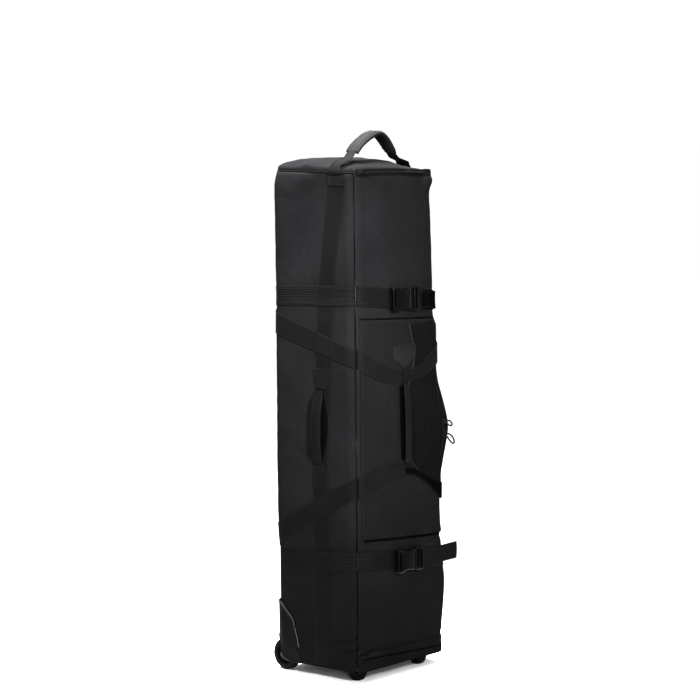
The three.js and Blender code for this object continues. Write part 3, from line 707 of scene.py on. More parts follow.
def glossy(name, level):
    """Polished acetal with faint moulding flow and hairline scuffs."""
    paint = Paint(name)
    flow = paint.noise(45.0, detail=5.0)
    scuffs = paint.noise(380.0, detail=6.0, rough=0.8)
    colour = paint.shades(flow, tint(level * 0.8), tint(level * 1.3))
    normal = paint.bump(flow, 0.0005, 0.12, paint.bump(scuffs, 0.00005, 0.2))
    return paint.finish(colour, paint.between(scuffs, 0.1, 0.18), normal, Specular_IOR_Level=0.12)


def rubber(name, level):
    paint = Paint(name)
    dust = paint.noise(60.0, detail=5.0)
    colour = paint.shades(dust, tint(level), tint(level * 2.2), 0.45, 0.8)
    normal = paint.bump(paint.noise(900.0), 0.0002, 0.35)
    return paint.finish(colour, paint.between(dust, 0.7, 0.88), normal, Specular_IOR_Level=0.08)


def steel(name):
    paint = Paint(name)
    marks = paint.noise(260.0, detail=6.0)
    colour = paint.shades(marks, (0.035, 0.035, 0.037), (0.07, 0.07, 0.073))
    normal = paint.bump(marks, 0.0001, 0.2)
    return paint.finish(colour, paint.between(marks, 0.34, 0.5), normal, Metallic=1.0)


def thread(name, level):
    paint = Paint(name)
    twist = paint.bands(0.0012, "DIAGONAL", paint.place())
    colour = paint.shades(twist, tint(level * 0.6), tint(level * 1.3))
    return paint.finish(colour, 0.7, paint.bump(twist, 0.0002, 0.5), Specular_IOR_Level=0.05)


def paper(name, level):
    paint = Paint(name)
    tone = paint.noise(3.0)
    colour = paint.shades(tone, tint(level * 0.99), tint(level))
    return paint.finish(colour, 0.9, Specular_IOR_Level=0.0)


FABRIC = polyester("case_polyester", 0.0138)
FLAP = polyester("pocket_polyester", 0.0122)
POUCH = polyester("pouch_polyester", 0.0065, 0.0016, 0.02, 0.01)
LINING = polyester("lining_nylon", 0.05, 0.0007, 0.0, 0.05)
STRAP = webbing("strap_webbing", 0.008)
# Darker webbing: the side grip's own, and also painted shade on the far upper straps.
GRIP_AND_SHADED_STRAP = webbing("side_grip_and_shaded_strap_webbing", 0.0065)
GRIP_TOP = webbing("handle_wrap_webbing", 0.0135, 0.0015)
THREAD = thread("strap_thread", 0.0135)
# Near-black webbing: real edge binding and piping, and also painted shade in seams, creases and gaps,
# beside the grips and under the pouch.
BINDING_AND_SHADE = webbing("edge_binding_and_painted_shade", 0.0035, 0.0012, 0.0, 0.0)
RIB = thread("rib_stitching", 0.0125)
# Much paler than the guard plastic: a painted highlight along the guard's rim.
RIM_HIGHLIGHT = moulded("guard_rim_painted_highlight", 0.03, 0.5)
PIPING = thread("pocket_piping", 0.019)
MOULD = moulded("guard_plastic", 0.0042, 0.5)
BASE = moulded("base_plastic", 0.006, 0.55)
ACETAL = glossy("buckle_acetal", 0.0015)
TAPE = webbing("zip_tape", 0.005, 0.0009)
COIL = moulded("zip_coil", 0.008, 0.4, 3000.0, 1.2)
SLIDER = moulded("zip_slider_enamel", 0.006, 0.5)
PATCH = moulded("patch_rubber", 0.009, 0.5, 700.0, 1.6)
CORD = thread("pull_cord", 0.016)
TYRE = rubber("tyre_rubber", 0.007)
STEEL = steel("blackened_steel")
BOARD = moulded("stiff_board", 0.03, 0.5)


def dress(node, *materials):
    """A carried-over CAD node gets a finer material."""
    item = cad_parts[node]
    item.data.materials.clear()
    for material in materials:
        item.data.materials.append(material)


# ---- the case's fabric -----------------------------------------------------------
def skirt(side_y, x):
    """Lower edge of the fabric: level, then up over the wheel, as the guard is."""
    if abs(x) < WHEEL_X - 26:
        return SKIRT
    return along([(96, SKIRT), (113, 36), (126, 52), (138, 88), (400, 88)], side_y)


@lru_cache(maxsize=8)
def shell_columns(z):
    """Places (side, u) round the wrap at one level, closer together where it bends."""
    flat = flat_depth(z)
    near = [9, 9.8, 11, 13.5] + steps(18, flat, 46)
    bend = [flat + REAR_ARC * i / 12 for i in range(1, 13)]
    back = steps(flat + REAR_ARC, flat + REAR_ARC + half_width(z) - REAR_RADIUS, 20)[1:]
    far = [43.2] + steps(46, flat, 40)
    left = [(-1, u) for u in near + bend + back]
    right = [(1, u) for u in far + bend + back[:-1]]
    return left + right[::-1]


def case_wrap():
    """The padded fabric that goes round both sides and the back in one piece."""
    shape = Shape()
    bottoms = []
    for side, u in shell_columns(100):
        p = wrap(side, u, 100, 0)
        bottoms.append(skirt(p.y, p.x))
    rows = []
    for level in [0, 0.004, 0.01] + steps(0.016, 0.985, 190) + [0.99, 0.995, 1]:
        outer, inner, coords = [], [], []
        for j, bottom in enumerate(bottoms):
            z = mix(bottom, BODY_TOP - 0.4, level)
            side, u = shell_columns(z)[j]
            on_board = smooth((u - flat_depth(z)) / 20)
            height = max(side_height(side, u, z), mix(-12, -2.1, on_board))
            low = 1.2 * pulse(z, bottom, 4)
            outer.append(wrap(side, u, z, height - low + 0.3))
            inner.append(wrap(side, u, z, min(-PANEL, height - low - 2.4)))
            coords.append((u * side, z))
        rows.append((outer, inner, coords))
    shape.slab(rows, (0, 1, 2))
    for side in (-1, 1):
        levels = steps(92, BODY_TOP - 2, 120)
        corner = [wrap(side, flat_depth(z) + REAR_ARC + 3, z, 1.2) for z in levels]
        shape.tube(corner, 1.7, 2)
    nodes = ["left_side_panel", "right_side_panel", "back_panel"]
    item = shape.build("case_wrap", "case", "shell_fabric", [FABRIC, LINING, BINDING_AND_SHADE], nodes)


def outline(z, inset, at, count=12):
    """The case's rounded outline at one level, with points along its straight sides too."""
    w, f, b = half_width(z) - inset, front_y(z) + inset, back_y(z) - inset
    corners = [(w, b, REAR_RADIUS - inset, 0), (-w, b, REAR_RADIUS - inset, 1),
               (-w, f, max(8 - inset, 2), 2), (w, f, DOOR_RADIUS - inset, 3)]
    ring = []
    for x, y, r, quarter in corners:
        cx, cy = x - math.copysign(r, x), (y - r if y == b else y + r)
        for q in steps(quarter, quarter + 1, 8):
            a = q * PI / 2
            ring.append(Vector((cx + r * math.cos(a), cy + r * math.sin(a), at)))
    dense = []
    for i, p in enumerate(ring):
        nxt = ring[(i + 1) % len(ring)]
        parts = count if (nxt - p).length > 40 else 1
        dense += [p.lerp(nxt, k / parts) for k in range(parts)]
    return dense


def draw_in(p):
    """The top narrows a little at its far side, and at its near rear corner."""
    far = smooth((p.x - 60) / 80) * smooth((p.y + 90) / 90)
    near_rear = smooth((-90 - p.x) / 50) * smooth((p.y - 30) / 80)
    return 6.5 * far - 7 * near_rear


def crown_height(x, y):
    """Humps and dents of the soft top: a tug by the handle, a ridge, and a fall to the far side."""
    tug = 3.0 * pulse(x, -60, 60) * pulse(y, 110, 50) - 5.0 * pulse(x, -108, 30) * pulse(y, 2, 26)
    ridge = 3.5 * pulse(x + 0.6 * y, -110, 12) * smooth((y + 60) / 50) * smooth((120 - y) / 60)
    cloth = 3.0 * lumps(x, y, 0, 58, 4.0) + 1.4 * lumps(x, y, 0, 21, 1.7)
    return cloth + tug + ridge - 9 * smooth((x - 10) / 110)


def top_cover():
    shape = Shape()
    edge = outline(BODY_TOP, 0, 0)
    centre = Vector((0, (FRONT_TOP + BACK_TOP) / 2, 0))
    dome = CROWN - BODY_TOP - 3
    sizes = [(0.97, 0.6), (0.994, 0.8), (1.0, 3), (1.003, 7)]
    sizes += [(math.cos(a), 9 + dome * math.sin(a)) for a in steps(0.12, 1.52, 26)]
    rings = []
    for scale, up in sizes:
        ring = []
        for p in edge:
            q = centre + (p - centre) * scale
            q.x -= draw_in(q)
            q.z = BODY_TOP + up + smooth((up - 4) / 10) * crown_height(q.x, q.y)
            ring.append(q)
        rings.append(ring)
    shape.loft(rings)
    shape.coords = [(p.x, p.y) for p in shape.points]
    rim = [p - Vector((draw_in(p), 0, 0)) for p in outline(BODY_TOP, -0.4, BODY_TOP + 2)]
    shape.tube(rim, 1.4, 0, closed=True)
    item = shape.build("top_cover", "case", "shell_fabric", [FABRIC], ["top_panel"])


def front_sill():
    """The fabric strip under the door, from the near corner round to the far one."""
    shape, rows = Shape(), []
    for z in steps(SKIRT, DOOR_BOTTOM - 1.2, 26):
        w = half_width(z)
        runs = [-4.5, -3, -1, 1, 3, 6, 10] + steps(16, w + door_edge(z) - 0.5, 44)
        tuck = 1.4 * pulse(z, SKIRT, 4) + 1.6 * pulse(z, DOOR_BOTTOM, 5)
        outer = []
        for s in runs:
            groove = 1.6 * pulse(z, 55 + 4 * math.sin(s / 45), 4)
            soft = 0.6 * lumps(s, 4, z * 1.8, 30, 8.0) - groove
            outer.append(plain_run(s, z, 1.9 + soft - tuck))
        inner = [plain_run(s, z, -0.4) for s in runs]
        rows.append((outer, inner, [(s, z) for s in runs]))
    shape.slab(rows, (0, 0, 1))
    # A near-black tube along the strip: painted shade in its crease.
    crease = [plain_run(s, 62 - 0.045 * s, 1.6) for s in runs_between(8, 2 * half_width(60) - 8)]
    shape.tube(crease, 1.3, 1)
    shape.build("front_sill_cover", "case", "shell_fabric", [FABRIC, BINDING_AND_SHADE])


def plain_run(s, z, lift):
    w = half_width(z)
    if s >= CORNER:
        return door_face(s - w, z, lift)
    if s <= -CORNER:
        return wrap(-1, -s, z, lift)
    a = PI + (s + CORNER) / (2 * CORNER) * PI / 2
    reach = CORNER + lift
    return Vector((-w + CORNER + reach * math.cos(a), front_y(z) + CORNER + reach * math.sin(a), z))


def door_cover():
    shape, rows = Shape(), []
    levels = [DOOR_BOTTOM + k for k in (0, 2, 5)] + steps(DOOR_BOTTOM + 9, DOOR_TOP - 9, 190)
    for z in levels + [DOOR_TOP - k for k in (5, 2, 0.2)]:
        w = half_width(z)
        ps = [-w + 0.6, -w + 1.6, -w + 3.2, -w + 6] + steps(-w + 10, w - DOOR_RADIUS, 52)
        ps += steps(w - DOOR_RADIUS, door_edge(z) - 0.5, 14)[1:]
        outer = [door_skin(p, z, 0.2) for p in ps]
        inner = [door_face(p, z, -4.5) for p in ps]
        rows.append((outer, inner, [(p, z) for p in ps]))
    shape.slab(rows, (0, 1, 2))
    nodes = ["door_panel", "door_gusset"]
    item = shape.build("door_cover", "door", "shell_fabric", [FABRIC, LINING, BINDING_AND_SHADE], nodes)


def door_flap():
    """The big flat pocket on the door, between its top seam and its slit."""
    shape, rows = Shape(), []
    w0 = half_width(600)
    for t in [0, 0.003, 0.008] + steps(0.015, 0.985, 92) + [0.992, 0.997, 1]:
        outer, inner, coords = [], [], []
        for k in [0, 0.004, 0.012] + steps(0.025, 1, 56):
            p0 = mix(-w0 + 9, door_edge(600) - 8, k)
            z = mix(flap_bottom(p0), flap_top(p0), t)
            p = mix(-half_width(z) + 9, door_edge(z) - 8, k)
            edge = min((z - flap_bottom(p)) / 3, (flap_top(p) - z) / 3, (p + half_width(z) - 9) / 2.5)
            full = quarter_round(edge)
            sag = 1.4 * pulse(z, flap_bottom(p), 14) * smooth((p + 150) / 30)
            outer.append(door_skin(p, z, 0.3 + FLAP_THICK * (0.35 + 0.65 * full) + sag))
            inner.append(door_skin(p, z, 0.25 + sag))
            coords.append((p, z))
        rows.append((outer, inner, coords))
    shape.slab(rows, (0, 0, 1))
    # Near-black bands: painted shadow below the slit's lip, and painted shade in the top seam.
    for line, low, high in ((flap_bottom, -7, 1), (flap_top, -1, 4)):
        edges = [((p, line(p) + low), (p, line(p) + high)) for p in runs_between(-150, 176)]
        ribbon(shape, door_skin, edges, 0.1, 0.8, False, (1, 1), high - low)
    for line, gap in ((flap_top, -5), (flap_top, -9), (flap_bottom, 7)):
        row = [door_skin(p, line(p) + gap, 0.45 + FLAP_THICK) for p in steps(-150, 150, 70)]
        shape.stitches(row, 2)
    shape.build("door_flat_pocket", "door", "shell_fabric", [FLAP, BINDING_AND_SHADE, THREAD])


def hinge_tape():
    """The cloth hinge behind the near front seam, near-black: partly its own dark cloth, partly painted
    shade in the seam's gap.
    """
    shape, rows = Shape(), []
    bend = [(4.2, 26), (4.2, 10), (4.8, 7), (9, 5.4), (26, 5.2)]
    for z in steps(DOOR_BOTTOM + 2, DOOR_TOP - 3, 60):
        outer = [Vector((-half_width(z) + x, front_y(z) + y, z)) for x, y in bend]
        inner = [p + Vector((0.7, 0.9, 0)) for p in outer]
        rows.append((outer, inner, [(i * 8, z) for i in range(len(bend))]))
    shape.slab(rows)
    item = shape.build("door_hinge_tape", None, "webbing", [BINDING_AND_SHADE])
    bend_at_hinge(item)


def bend_at_hinge(item):
    w, f = half_width(640), front_y(640)
    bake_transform(item)


# ---- straps ---------------------------------------------------------------------
def over_spine(side, u, z):
    return smooth((35 - abs(u - spine_u(side, z))) / 8)


def side_lift(side):
    return lambda u, z: 0.6 + 2.0 * over_spine(side, u, z)


def near_lift(s, z):
    if s <= 0:
        return 0.6 + 2.0 * over_spine(-1, -s, z)
    return 0.7 + flap_layer(s - half_width(z), z)


def ribs(shape, surface, stations, lift, rows=7):
    """Rows of raised stitching along a strap; stations are (a, low z, high z)."""
    for row in range(rows):
        t = (row + 1) / (rows + 1)
        line = []
        for a, low, high in stations:
            z = mix(low, high, t)
            line.append(surface(a, z, WEB + (lift(a, z) if callable(lift) else lift)))
        shape.tube(line, 1.0, 2, 6)


def seam_shade_line(shape, low, high):
    """A near-black tube where a strap is sewn down into the near seam: painted shade in the seam's crease.
    """
    line = [near_run(0, z, near_lift(0, z) + WEB) for z in steps(low, high, 10)]
    shape.tube(line, 1.5, 3)


def runs_between(start, end, step=5.0):
    count = max(int(abs(end - start) / step), 1)
    return steps(start, end, count)


def near_compression(level, end):
    """From the rear corner, round the near front corner, to the buckle's bar."""
    strap = COMPRESSION[level]
    w = half_width(strap["front"])
    rear = strap["rear"][0]

    def centre(s):
        return level_side(level, -s) if s < 0 else level_front(level, s - w)

    turn = steps(-10, 10, 10)
    places = runs_between(-rear, -12) + turn + runs_between(13, w + end)
    shape = Shape()
    half = WEBBING / 2
    ribbon(shape, near_run, band(places, centre), near_lift)
    spine = spine_u(-1, centre(-100))
    spans = [(-spine + 26, 52)] if level == "lower" else [(-rear + 12, -spine - 27), (-spine + 26, 34)]
    for low, high in spans:
        rows = [(s, centre(s) - half + 2, centre(s) + half - 2) for s in runs_between(low, high, 4)]
        ribs(shape, near_run, rows, near_lift)
    z = centre(-spine)
    box_stitch(shape, near_run, -spine - 19, -spine + 19, z - 20, z + 20, 2.6 + WEB + 0.2)
    if level == "lower":
        z = centre(-193)
        box_stitch(shape, near_run, -208, -178, z - 19, z + 19, 0.6 + WEB + 0.2)
    seam_shade_line(shape, centre(0) - half, centre(0) + half)
    nodes = [f"left_side_strap_{level}", f"left_front_strap_{level}"]
    cloths = [STRAP, THREAD, RIB, BINDING_AND_SHADE]
    item = shape.build(f"near_compression_strap_{level}", None, "webbing", cloths, nodes)
    bend_at_hinge(item)


def far_compression(level, start):
    """From the buckle round the far edge, and the part of the same strap on the far side."""
    shape = Shape()

    def lift(p, z):
        return 0.7 + flap_layer(p, z) + 1.6 * pulse(p, 40, 14)

    places = runs_between(start, door_edge(level_front(level, 150)) - 1, 4.5)
    ribbon(shape, door_skin, band(places, lambda p: level_front(level, min(p, 150))), lift)
    if level == "upper":
        gathered_end(shape, level, lift)
    else:
        strap_tail(shape)
    # The upper strap past the buckle takes the darker webbing as painted shade.
    cloth = GRIP_AND_SHADED_STRAP if level == "upper" else STRAP
    node = f"right_front_strap_{level}"
    shape.build(f"far_compression_strap_{level}", "door", "webbing", [cloth, THREAD, BINDING_AND_SHADE], [node])
    far_side_compression(level)


def gathered_end(shape, level, lift):
    """Two folded layers of slack webbing beside the buckle, in near-black as painted shade on the bunch."""
    for layer, reach in ((1, 160), (2, 152)):
        def stacked(p, z, k=layer):
            return lift(p, z) + k * (2.9 + 1.3 * math.sin(p / 7 + 2 * k)) * smooth((p - 84) / 16)

        half = WEBBING / 2 - 1.5 * layer
        pairs = band(runs_between(88, reach, 4.0), lambda p: level_front(level, p), half)
        ribbon(shape, door_skin, pairs, stacked, 1.8, kinds=(2, 1))


FAR_START = 42.6  # where the straps on the far side begin, behind the zip


def far_side_compression(level):
    shape = Shape()
    rear, rear_z = COMPRESSION[level]["rear"]
    front_z = level_front(level, half_width(300 if level == "lower" else 950))

    def centre(u):
        return mix(front_z, rear_z, (u - FAR_START) / (rear - FAR_START))

    ribbon(shape, side_skin(1), band(runs_between(FAR_START, rear), centre), side_lift(1))
    z = mix(front_z, rear_z, 0.3)
    spine = spine_u(1, z)
    box_stitch(shape, side_skin(1), spine - 19, spine + 19, z - 20, z + 20, 2.6 + WEB + 0.2)
    node = f"right_side_strap_{level}"
    shape.build(f"far_side_strap_{level}", "case", "webbing", [STRAP, THREAD], [node])


def strap_tail(shape):
    """The lower strap's loose end, standing out past the far edge."""
    z = level_front("lower", half_width(300)) + 6
    y = front_y(z)
    reach = -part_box("side_handle")[0].x * 1000
    line = [(118, y - 9), (136, y - 10), (152, y - 15), (168, y - 22), (180, y - 26), (reach, y - 26)]
    line = walk([(a, b, 0) for a, b in line], 3.0)
    rows = []
    for i, p in enumerate(line):
        lift = 8 * smooth(i / len(line))
        zs = [z - 21 + 42 * t + lift for t in ACROSS]
        curl = [1.2 * math.sin(PI * t) for t in ACROSS]
        outer = [Vector((p.x, p.y - 1.7 - c, q)) for q, c in zip(zs, curl)]
        inner = [Vector((p.x + 0.3, p.y - c, q)) for q, c in zip(zs, curl)]
        rows.append((outer, inner, [(i * 3, q) for q in zs]))
    shape.slab(rows)


def haul_edges(level, s, w):
    """Low and high edge of a haul strap; s < 0 on the side, s > 0 in across the door."""
    haul = HAUL[level]
    low, high = haul["front"]
    if s < 0:
        t = (-s - SIDE_START) / (270 - SIDE_START)
        return mix(low, haul["rear"][0], t), mix(high, haul["rear"][1], t)
    t = clamp((w - s - 16) / (w - 16))
    centre = mix(haul["middle"], (low + high) / 2, t**1.7)
    half = mix(13, (high - low) / 2, min(t * 1.7, 1))
    return centre - half, centre + half


def near_haul(level):
    w = half_width(sum(HAUL[level]["front"]) / 2)
    places = runs_between(-288, -12) + steps(-10, 10, 10) + runs_between(13, w + 3)
    shape, pairs = Shape(), []
    for s in places:
        low, high = haul_edges(level, s, w)
        pairs.append(((s, low), (s, high)))
    ribbon(shape, near_run, pairs, lambda s, z: near_lift(s, z) + 1.5 * smooth((s - w + 60) / 60))
    spine = spine_u(-1, sum(haul_edges(level, -110, w)) / 2)
    low, high = haul_edges(level, -spine, w)
    box_stitch(shape, near_run, -spine - 19, -spine + 19, low + 5, high - 5, 2.6 + WEB + 0.2)
    seam_shade_line(shape, *haul_edges(level, 0, w))
    nodes = [f"left_haul_strap_{level}_side", f"left_haul_strap_{level}_front"]
    item = shape.build(f"near_haul_strap_{level}", None, "webbing", [STRAP, THREAD, RIB, BINDING_AND_SHADE], nodes)
    bend_at_hinge(item)


def far_haul(level):
    w = half_width(sum(HAUL[level]["front"]) / 2)
    shape, pairs = Shape(), []
    for p in runs_between(-6, door_edge(650) - 2, 4.5):
        low, high = haul_edges(level, w - min(p, w), w)
        if level == "lower":
            half = mix(8, 22, smooth((p - 60) / 120))
            low, high = along(FAR_LOWER, p) - half, along(FAR_LOWER, p) + half
        pairs.append(((p, low), (p, high)))

    def lift(p, z):
        return 1.4 + FLAP_THICK + pouch_height(p, z) + 4.5 * pulse(p, 2, 22)

    ribbon(shape, door_skin, pairs, lift)
    node = f"right_haul_strap_{level}_front"
    # Far upper strap in the darker webbing and far lower strap in near-black: painted shade, the lower one
    # a painted shadow under the pouch.
    cloth = GRIP_AND_SHADED_STRAP if level == "upper" else BINDING_AND_SHADE
    shape.build(f"far_haul_strap_{level}", "door", "webbing", [cloth, THREAD], [node])
    far_side_haul(level, w)


def far_side_haul(level, w):
    shape, pairs = Shape(), []
    rear = 288
    for u in runs_between(FAR_START, rear):
        low, high = haul_edges(level, -u, w)
        drop = 0
        if level == "lower":
            drop = (along(FAR_LOWER, 215) - 482) * (rear - u) / (rear - FAR_START)
        pairs.append(((u, low + drop), (u, high + drop)))
    ribbon(shape, side_skin(1), pairs, side_lift(1))
    node = f"right_haul_strap_{level}_side"
    shape.build(f"far_side_haul_strap_{level}", "case", "webbing", [STRAP, THREAD], [node])


def spine_strap(name, side):
    shape = Shape()
    half = WEBBING / 2
    levels = runs_between(34 if side < 0 else 40, 1238)
    pairs = [((spine_u(side, z) - half, z), (spine_u(side, z) + half, z)) for z in levels]
    ribbon(shape, side_skin(side), pairs, 0.3)
    shape.build(f"{name}_spine_strap_cover", "case", "webbing", [STRAP, THREAD], [f"{name}_spine_strap"])


# ---- pouch on the door --------------------------------------------------------------
def pouch_height(p, z):
    """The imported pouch, pinched where the haul straps cross it."""
    if p < POCKET["left"] - 4:
        return 0
    full = pocket_height(p, z)
    pinch = 1 - 0.5 * pulse(z, 752, 30) - 0.4 * pulse(z, 486, 26)
    return max(full * pinch, 1.0)


def pouch():
    shape, rows, edge_line = Shape(), [], []
    for z in steps(452, 872, 84):
        left, right = along(POCKET_LEFT, z), half_width(z) - DOOR_RADIUS + POCKET["turn"]
        ps = [mix(left, right, t) for t in [0, 0.01, 0.03, 0.06] + steps(0.1, 1, 30)]
        ends = smooth(min(z - 452, 872 - z) / 10)
        outer = []
        for p in ps:
            streaks = 1.9 * lumps(p * 2.2, 0, z * 0.18, 16, 9.0) + 1.3 * lumps(p, 0, z * 0.3, 34, 2.0)
            full = (0.25 + 0.75 * smooth((p - left) / 7)) * ends
            outer.append(door_skin(p, z, 0.6 + FLAP_THICK + (pouch_height(p, z) + streaks) * full))
        inner = [door_skin(p, z, 0.4 + FLAP_THICK * 0.9) for p in ps]
        rows.append((outer, inner, [(p, z) for p in ps]))
        edge_line.append(door_skin(left, z, FLAP_THICK + 2.2))
    shape.slab(rows)
    shape.tube(edge_line, 1.5, 1)
    item = shape.build("pouch_cover", "door", "shell_fabric", [POUCH, PIPING], ["pocket_panel"])


POUCH_ZIP = {"p": 128, "low": 534, "high": 728}


def pouch_zip_lift(z, p=POUCH_ZIP["p"]):
    return 0.6 + FLAP_THICK + pouch_height(p, z) + 0.6


def teeth(shape, path, surface, lift, offset, phase, pitch=2.6):
    """A row of small coil turns beside the zip's line. path gives (a, z, da, dz), the last two outward."""
    left = phase
    block = [(x, out, up) for up in (0, 1.1) for x in (-0.6, 0.6) for out in (-1.2, 1.2)]
    faces = [[0, 1, 3, 2], [4, 5, 7, 6], [0, 1, 5, 4], [2, 3, 7, 6], [0, 2, 6, 4], [1, 3, 7, 5]]
    for start, end in zip(path, path[1:]):
        run, rise_by = end[0] - start[0], end[1] - start[1]
        length = math.hypot(run, rise_by)
        while left < length:
            a, z, da, dz = (mix(p, q, left / length) for p, q in zip(start, end))
            points = []
            for x, out, up in block:
                ahead, aside = x / length, offset + out
                place = (a + run * ahead + da * aside, z + rise_by * ahead + dz * aside)
                points.append(surface(*place, lift(a, z) + up))
            shape.add(points, faces, 1)
            left += pitch
        left -= length


def zip_path():
    top, bottom = DOOR_TOP + 1.5, DOOR_BOTTOM - 1
    near = -HALF_TOP + 4
    corner = 14
    path = [(p, top, 0, 1) for p in runs_between(near, door_edge(top) - 0.6 - corner, 6)]
    for a in steps(0, PI / 2, 6):
        z = top - corner * (1 - math.cos(a))
        path.append((door_edge(top) - 0.6 - corner * (1 - math.sin(a)), z, math.sin(a), math.cos(a)))
    path += [(door_edge(z) - 0.6, z, 1, 0) for z in runs_between(top - corner, bottom + corner, 8)[1:-1]]
    for a in steps(0, PI / 2, 6):
        z = bottom + corner * (1 - math.sin(a))
        path.append((door_edge(bottom) - 0.6 - corner * (1 - math.cos(a)), z, math.cos(a), -math.sin(a)))
    path += [(p, bottom, 0, -1) for p in runs_between(door_edge(bottom) - 0.6 - corner, near, 6)[1:]]
    return path


def corner_roll(p, z):
    """How far the zip rolls out at the top far corner; along the bottom it is tucked in."""
    return corner_bump(p, z) + 3 * pulse(z, 1218, 26) * smooth((p - 120) / 40) - 2.4 * smooth((96 - z) / 20)


def zip_half(name, body, low, high, side, node):
    """One tape of the long zip, with its teeth."""
    shape, rows, run = Shape(), [], 0
    path = zip_path()
    offs = steps(low, high, 6)
    crown = [0.9 * math.sin(PI * clamp((o - low) / (high - low) * 0.9 + 0.05)) for o in offs]
    for i, (p, z, dp, dz) in enumerate(path):
        run += math.hypot(p - path[i - 1][0], z - path[i - 1][1]) if i else 0
        roll = corner_roll(p, z)
        outer = [door_face(p + dp * o, z + dz * o, roll + k) for o, k in zip(offs, crown)]
        inner = [door_face(p + dp * o, z + dz * o, roll - 0.5) for o in offs]
        rows.append((outer, inner, [(run, o) for o in offs]))
    shape.slab(rows)
    phase = 1.3 if side > 0 else 0
    teeth(shape, path, door_face, lambda a, z: corner_roll(a, z) + 0.4, side * 0.9, phase)
    shape.build(name, body, "zip", [TAPE, COIL], [node])


def pouch_zip():
    shape, rows = Shape(), []
    p = POUCH_ZIP["p"]
    zs = steps(POUCH_ZIP["low"], POUCH_ZIP["high"], 40)
    offs = steps(-5.5, 5.5, 6)
    for z in zs:
        outer = [door_skin(p + o, z, pouch_zip_lift(z, p + o) + 0.9) for o in offs]
        inner = [door_skin(p + o, z, pouch_zip_lift(z, p + o)) for o in offs]
        rows.append((outer, inner, [(z, o) for o in offs]))
    shape.slab(rows)
    path = [(p, z, 1, 0) for z in zs]
    for side in (-1, 1):
        lift = lambda a, z: pouch_zip_lift(z) + 0.9
        teeth(shape, path, door_skin, lift, side * 0.9, 0.65 * (side + 1))
    shape.build("pouch_zip_tape", "door", "zip", [TAPE, COIL], ["pocket_zip_tape"])


# ---- sliders and pulls -----------------------------------------------------------------
def slider_outline(length, width):
    l, w = length / 2, width / 2
    return rounded([(-l, -w * 0.55), (-l * 0.35, -w), (l, -w), (l, w), (-l * 0.35, w), (-l, w * 0.55)], 2)


def slider_body(shape, place, length, width, post, tops, bail):
    """Two plates on a post, with a wire bail over them for the pull."""
    for low, high in tops:
        shape.plate([slider_outline(length, width)], place, low, high, 0.6)
    shape.plate([rectangle(*post)], place, 1.4, tops[1][0] + 0.8, 0.4)
    shape.tube([place(*p) for p in bail], 0.8)


def case_slider(level):
    low, high = (corner * 1000 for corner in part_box(f"case_slider_{level}"))
    x, y, z = low.x + 7, high.y - ORIGIN_Y, (low.z + high.z) / 2
    shape = Shape()
    place = lambda a, b, c: Vector((x + a, y - c, z + b))
    bail = [(-3, 0, 4.6), (-2.6, 0, 6.4), (0, 0, 7.2), (3.5, 0, 7.2), (6, 0, 6.2), (6.2, 0, 4.6)]
    slider_body(shape, place, 14, 11, (3, 6.5, -3, 3), ((0.2, 2.0), (3.2, 5.0)), bail)
    tab = rounded(rectangle(1.5, 25, -3.2, 3.2), 2.6)
    hole = rounded(rectangle(3, 7.5, -1.6, 1.6), 1.2)[::-1]
    shape.plate([tab, hole], place, 5.9, 7.0, 0.35)
    shape.tube([place(a, 0, 7.1) for a in (11, 22)], 0.9)
    name, body = f"case_zip_slider_{level}", f"zip_slider_{level}"
    shape.build(name, body, "zip", [SLIDER], [f"case_slider_{level}"], 40)


def pouch_slider(level, up):
    low, high = (corner * 1000 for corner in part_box(f"pocket_slider_{level}"))
    x, y, z = (low.x + high.x) / 2, high.y - ORIGIN_Y, (low.z + high.z) / 2
    shape = Shape()
    place = lambda a, b, c: Vector((x + b, y - c, z - up * a))
    bail = [(-3, 0, 4.4), (-3, 0, 6.6), (-1.5, 0, 8.0), (1.5, 0, 8.0), (3, 0, 6.6), (3, 0, 4.4)]
    slider_body(shape, place, 13, 10, (2.5, 6, -2.6, 2.6), ((0.2, 1.9), (3.0, 4.8)), bail)
    name, body = f"pouch_zip_slider_{level}", f"pocket_zip_{level}"
    shape.build(name, body, "zip", [SLIDER], [f"pocket_slider_{level}"], 40)


def pull(level, length, wide, droop):
    """A loop of moulded cord on a pouch slider, standing out from it."""
    low, high = (corner * 1000 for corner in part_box(f"pocket_pull_{level}"))
    x, y, z = (low.x + high.x) / 2, high.y - ORIGIN_Y, high.z - 3
    shape = Shape()
    loop = []
    for t in steps(0, 1, 32)[:-1]:
        a = TURN * t
        out = length * (1 - math.cos(a)) / 2
        aside = wide * math.sin(a) * math.sqrt(out / length)
        loop.append(Vector((x - 0.3 * out, y + 4.2 - out, z + aside - droop * (out / length) ** 1.3)))
    shape.tube(loop, 1.9, 0, 8, closed=True)
    bends = ((0, 0, 0), (0, -2.0, -0.15 * droop), (-0.6, -4.5, -0.3 * droop))
    shape.tube([loop[0] + Vector(bend) for bend in bends], 1.9, 1, 10)
    name, body = f"cord_pull_{level}_loop", f"cord_pull_{level}"
    shape.build(name, body, "cord", [CORD, MOULD], [f"pocket_pull_{level}"])


# ---- buckles ---------------------------------------------------------------------------
BUCKLE_HALF = 29


def buckle_place(level):
    z0 = level_front(level, 0)

    def place(a, b, c):
        z = z0 + b
        return Vector((a, front_y(z) - BULGE - c, z - 0.02 * a))

    return place


def mirrored(half):
    """A closed outline from its half on one side of the first axis."""
    return half + [(a, -b) for a, b in reversed(half)]


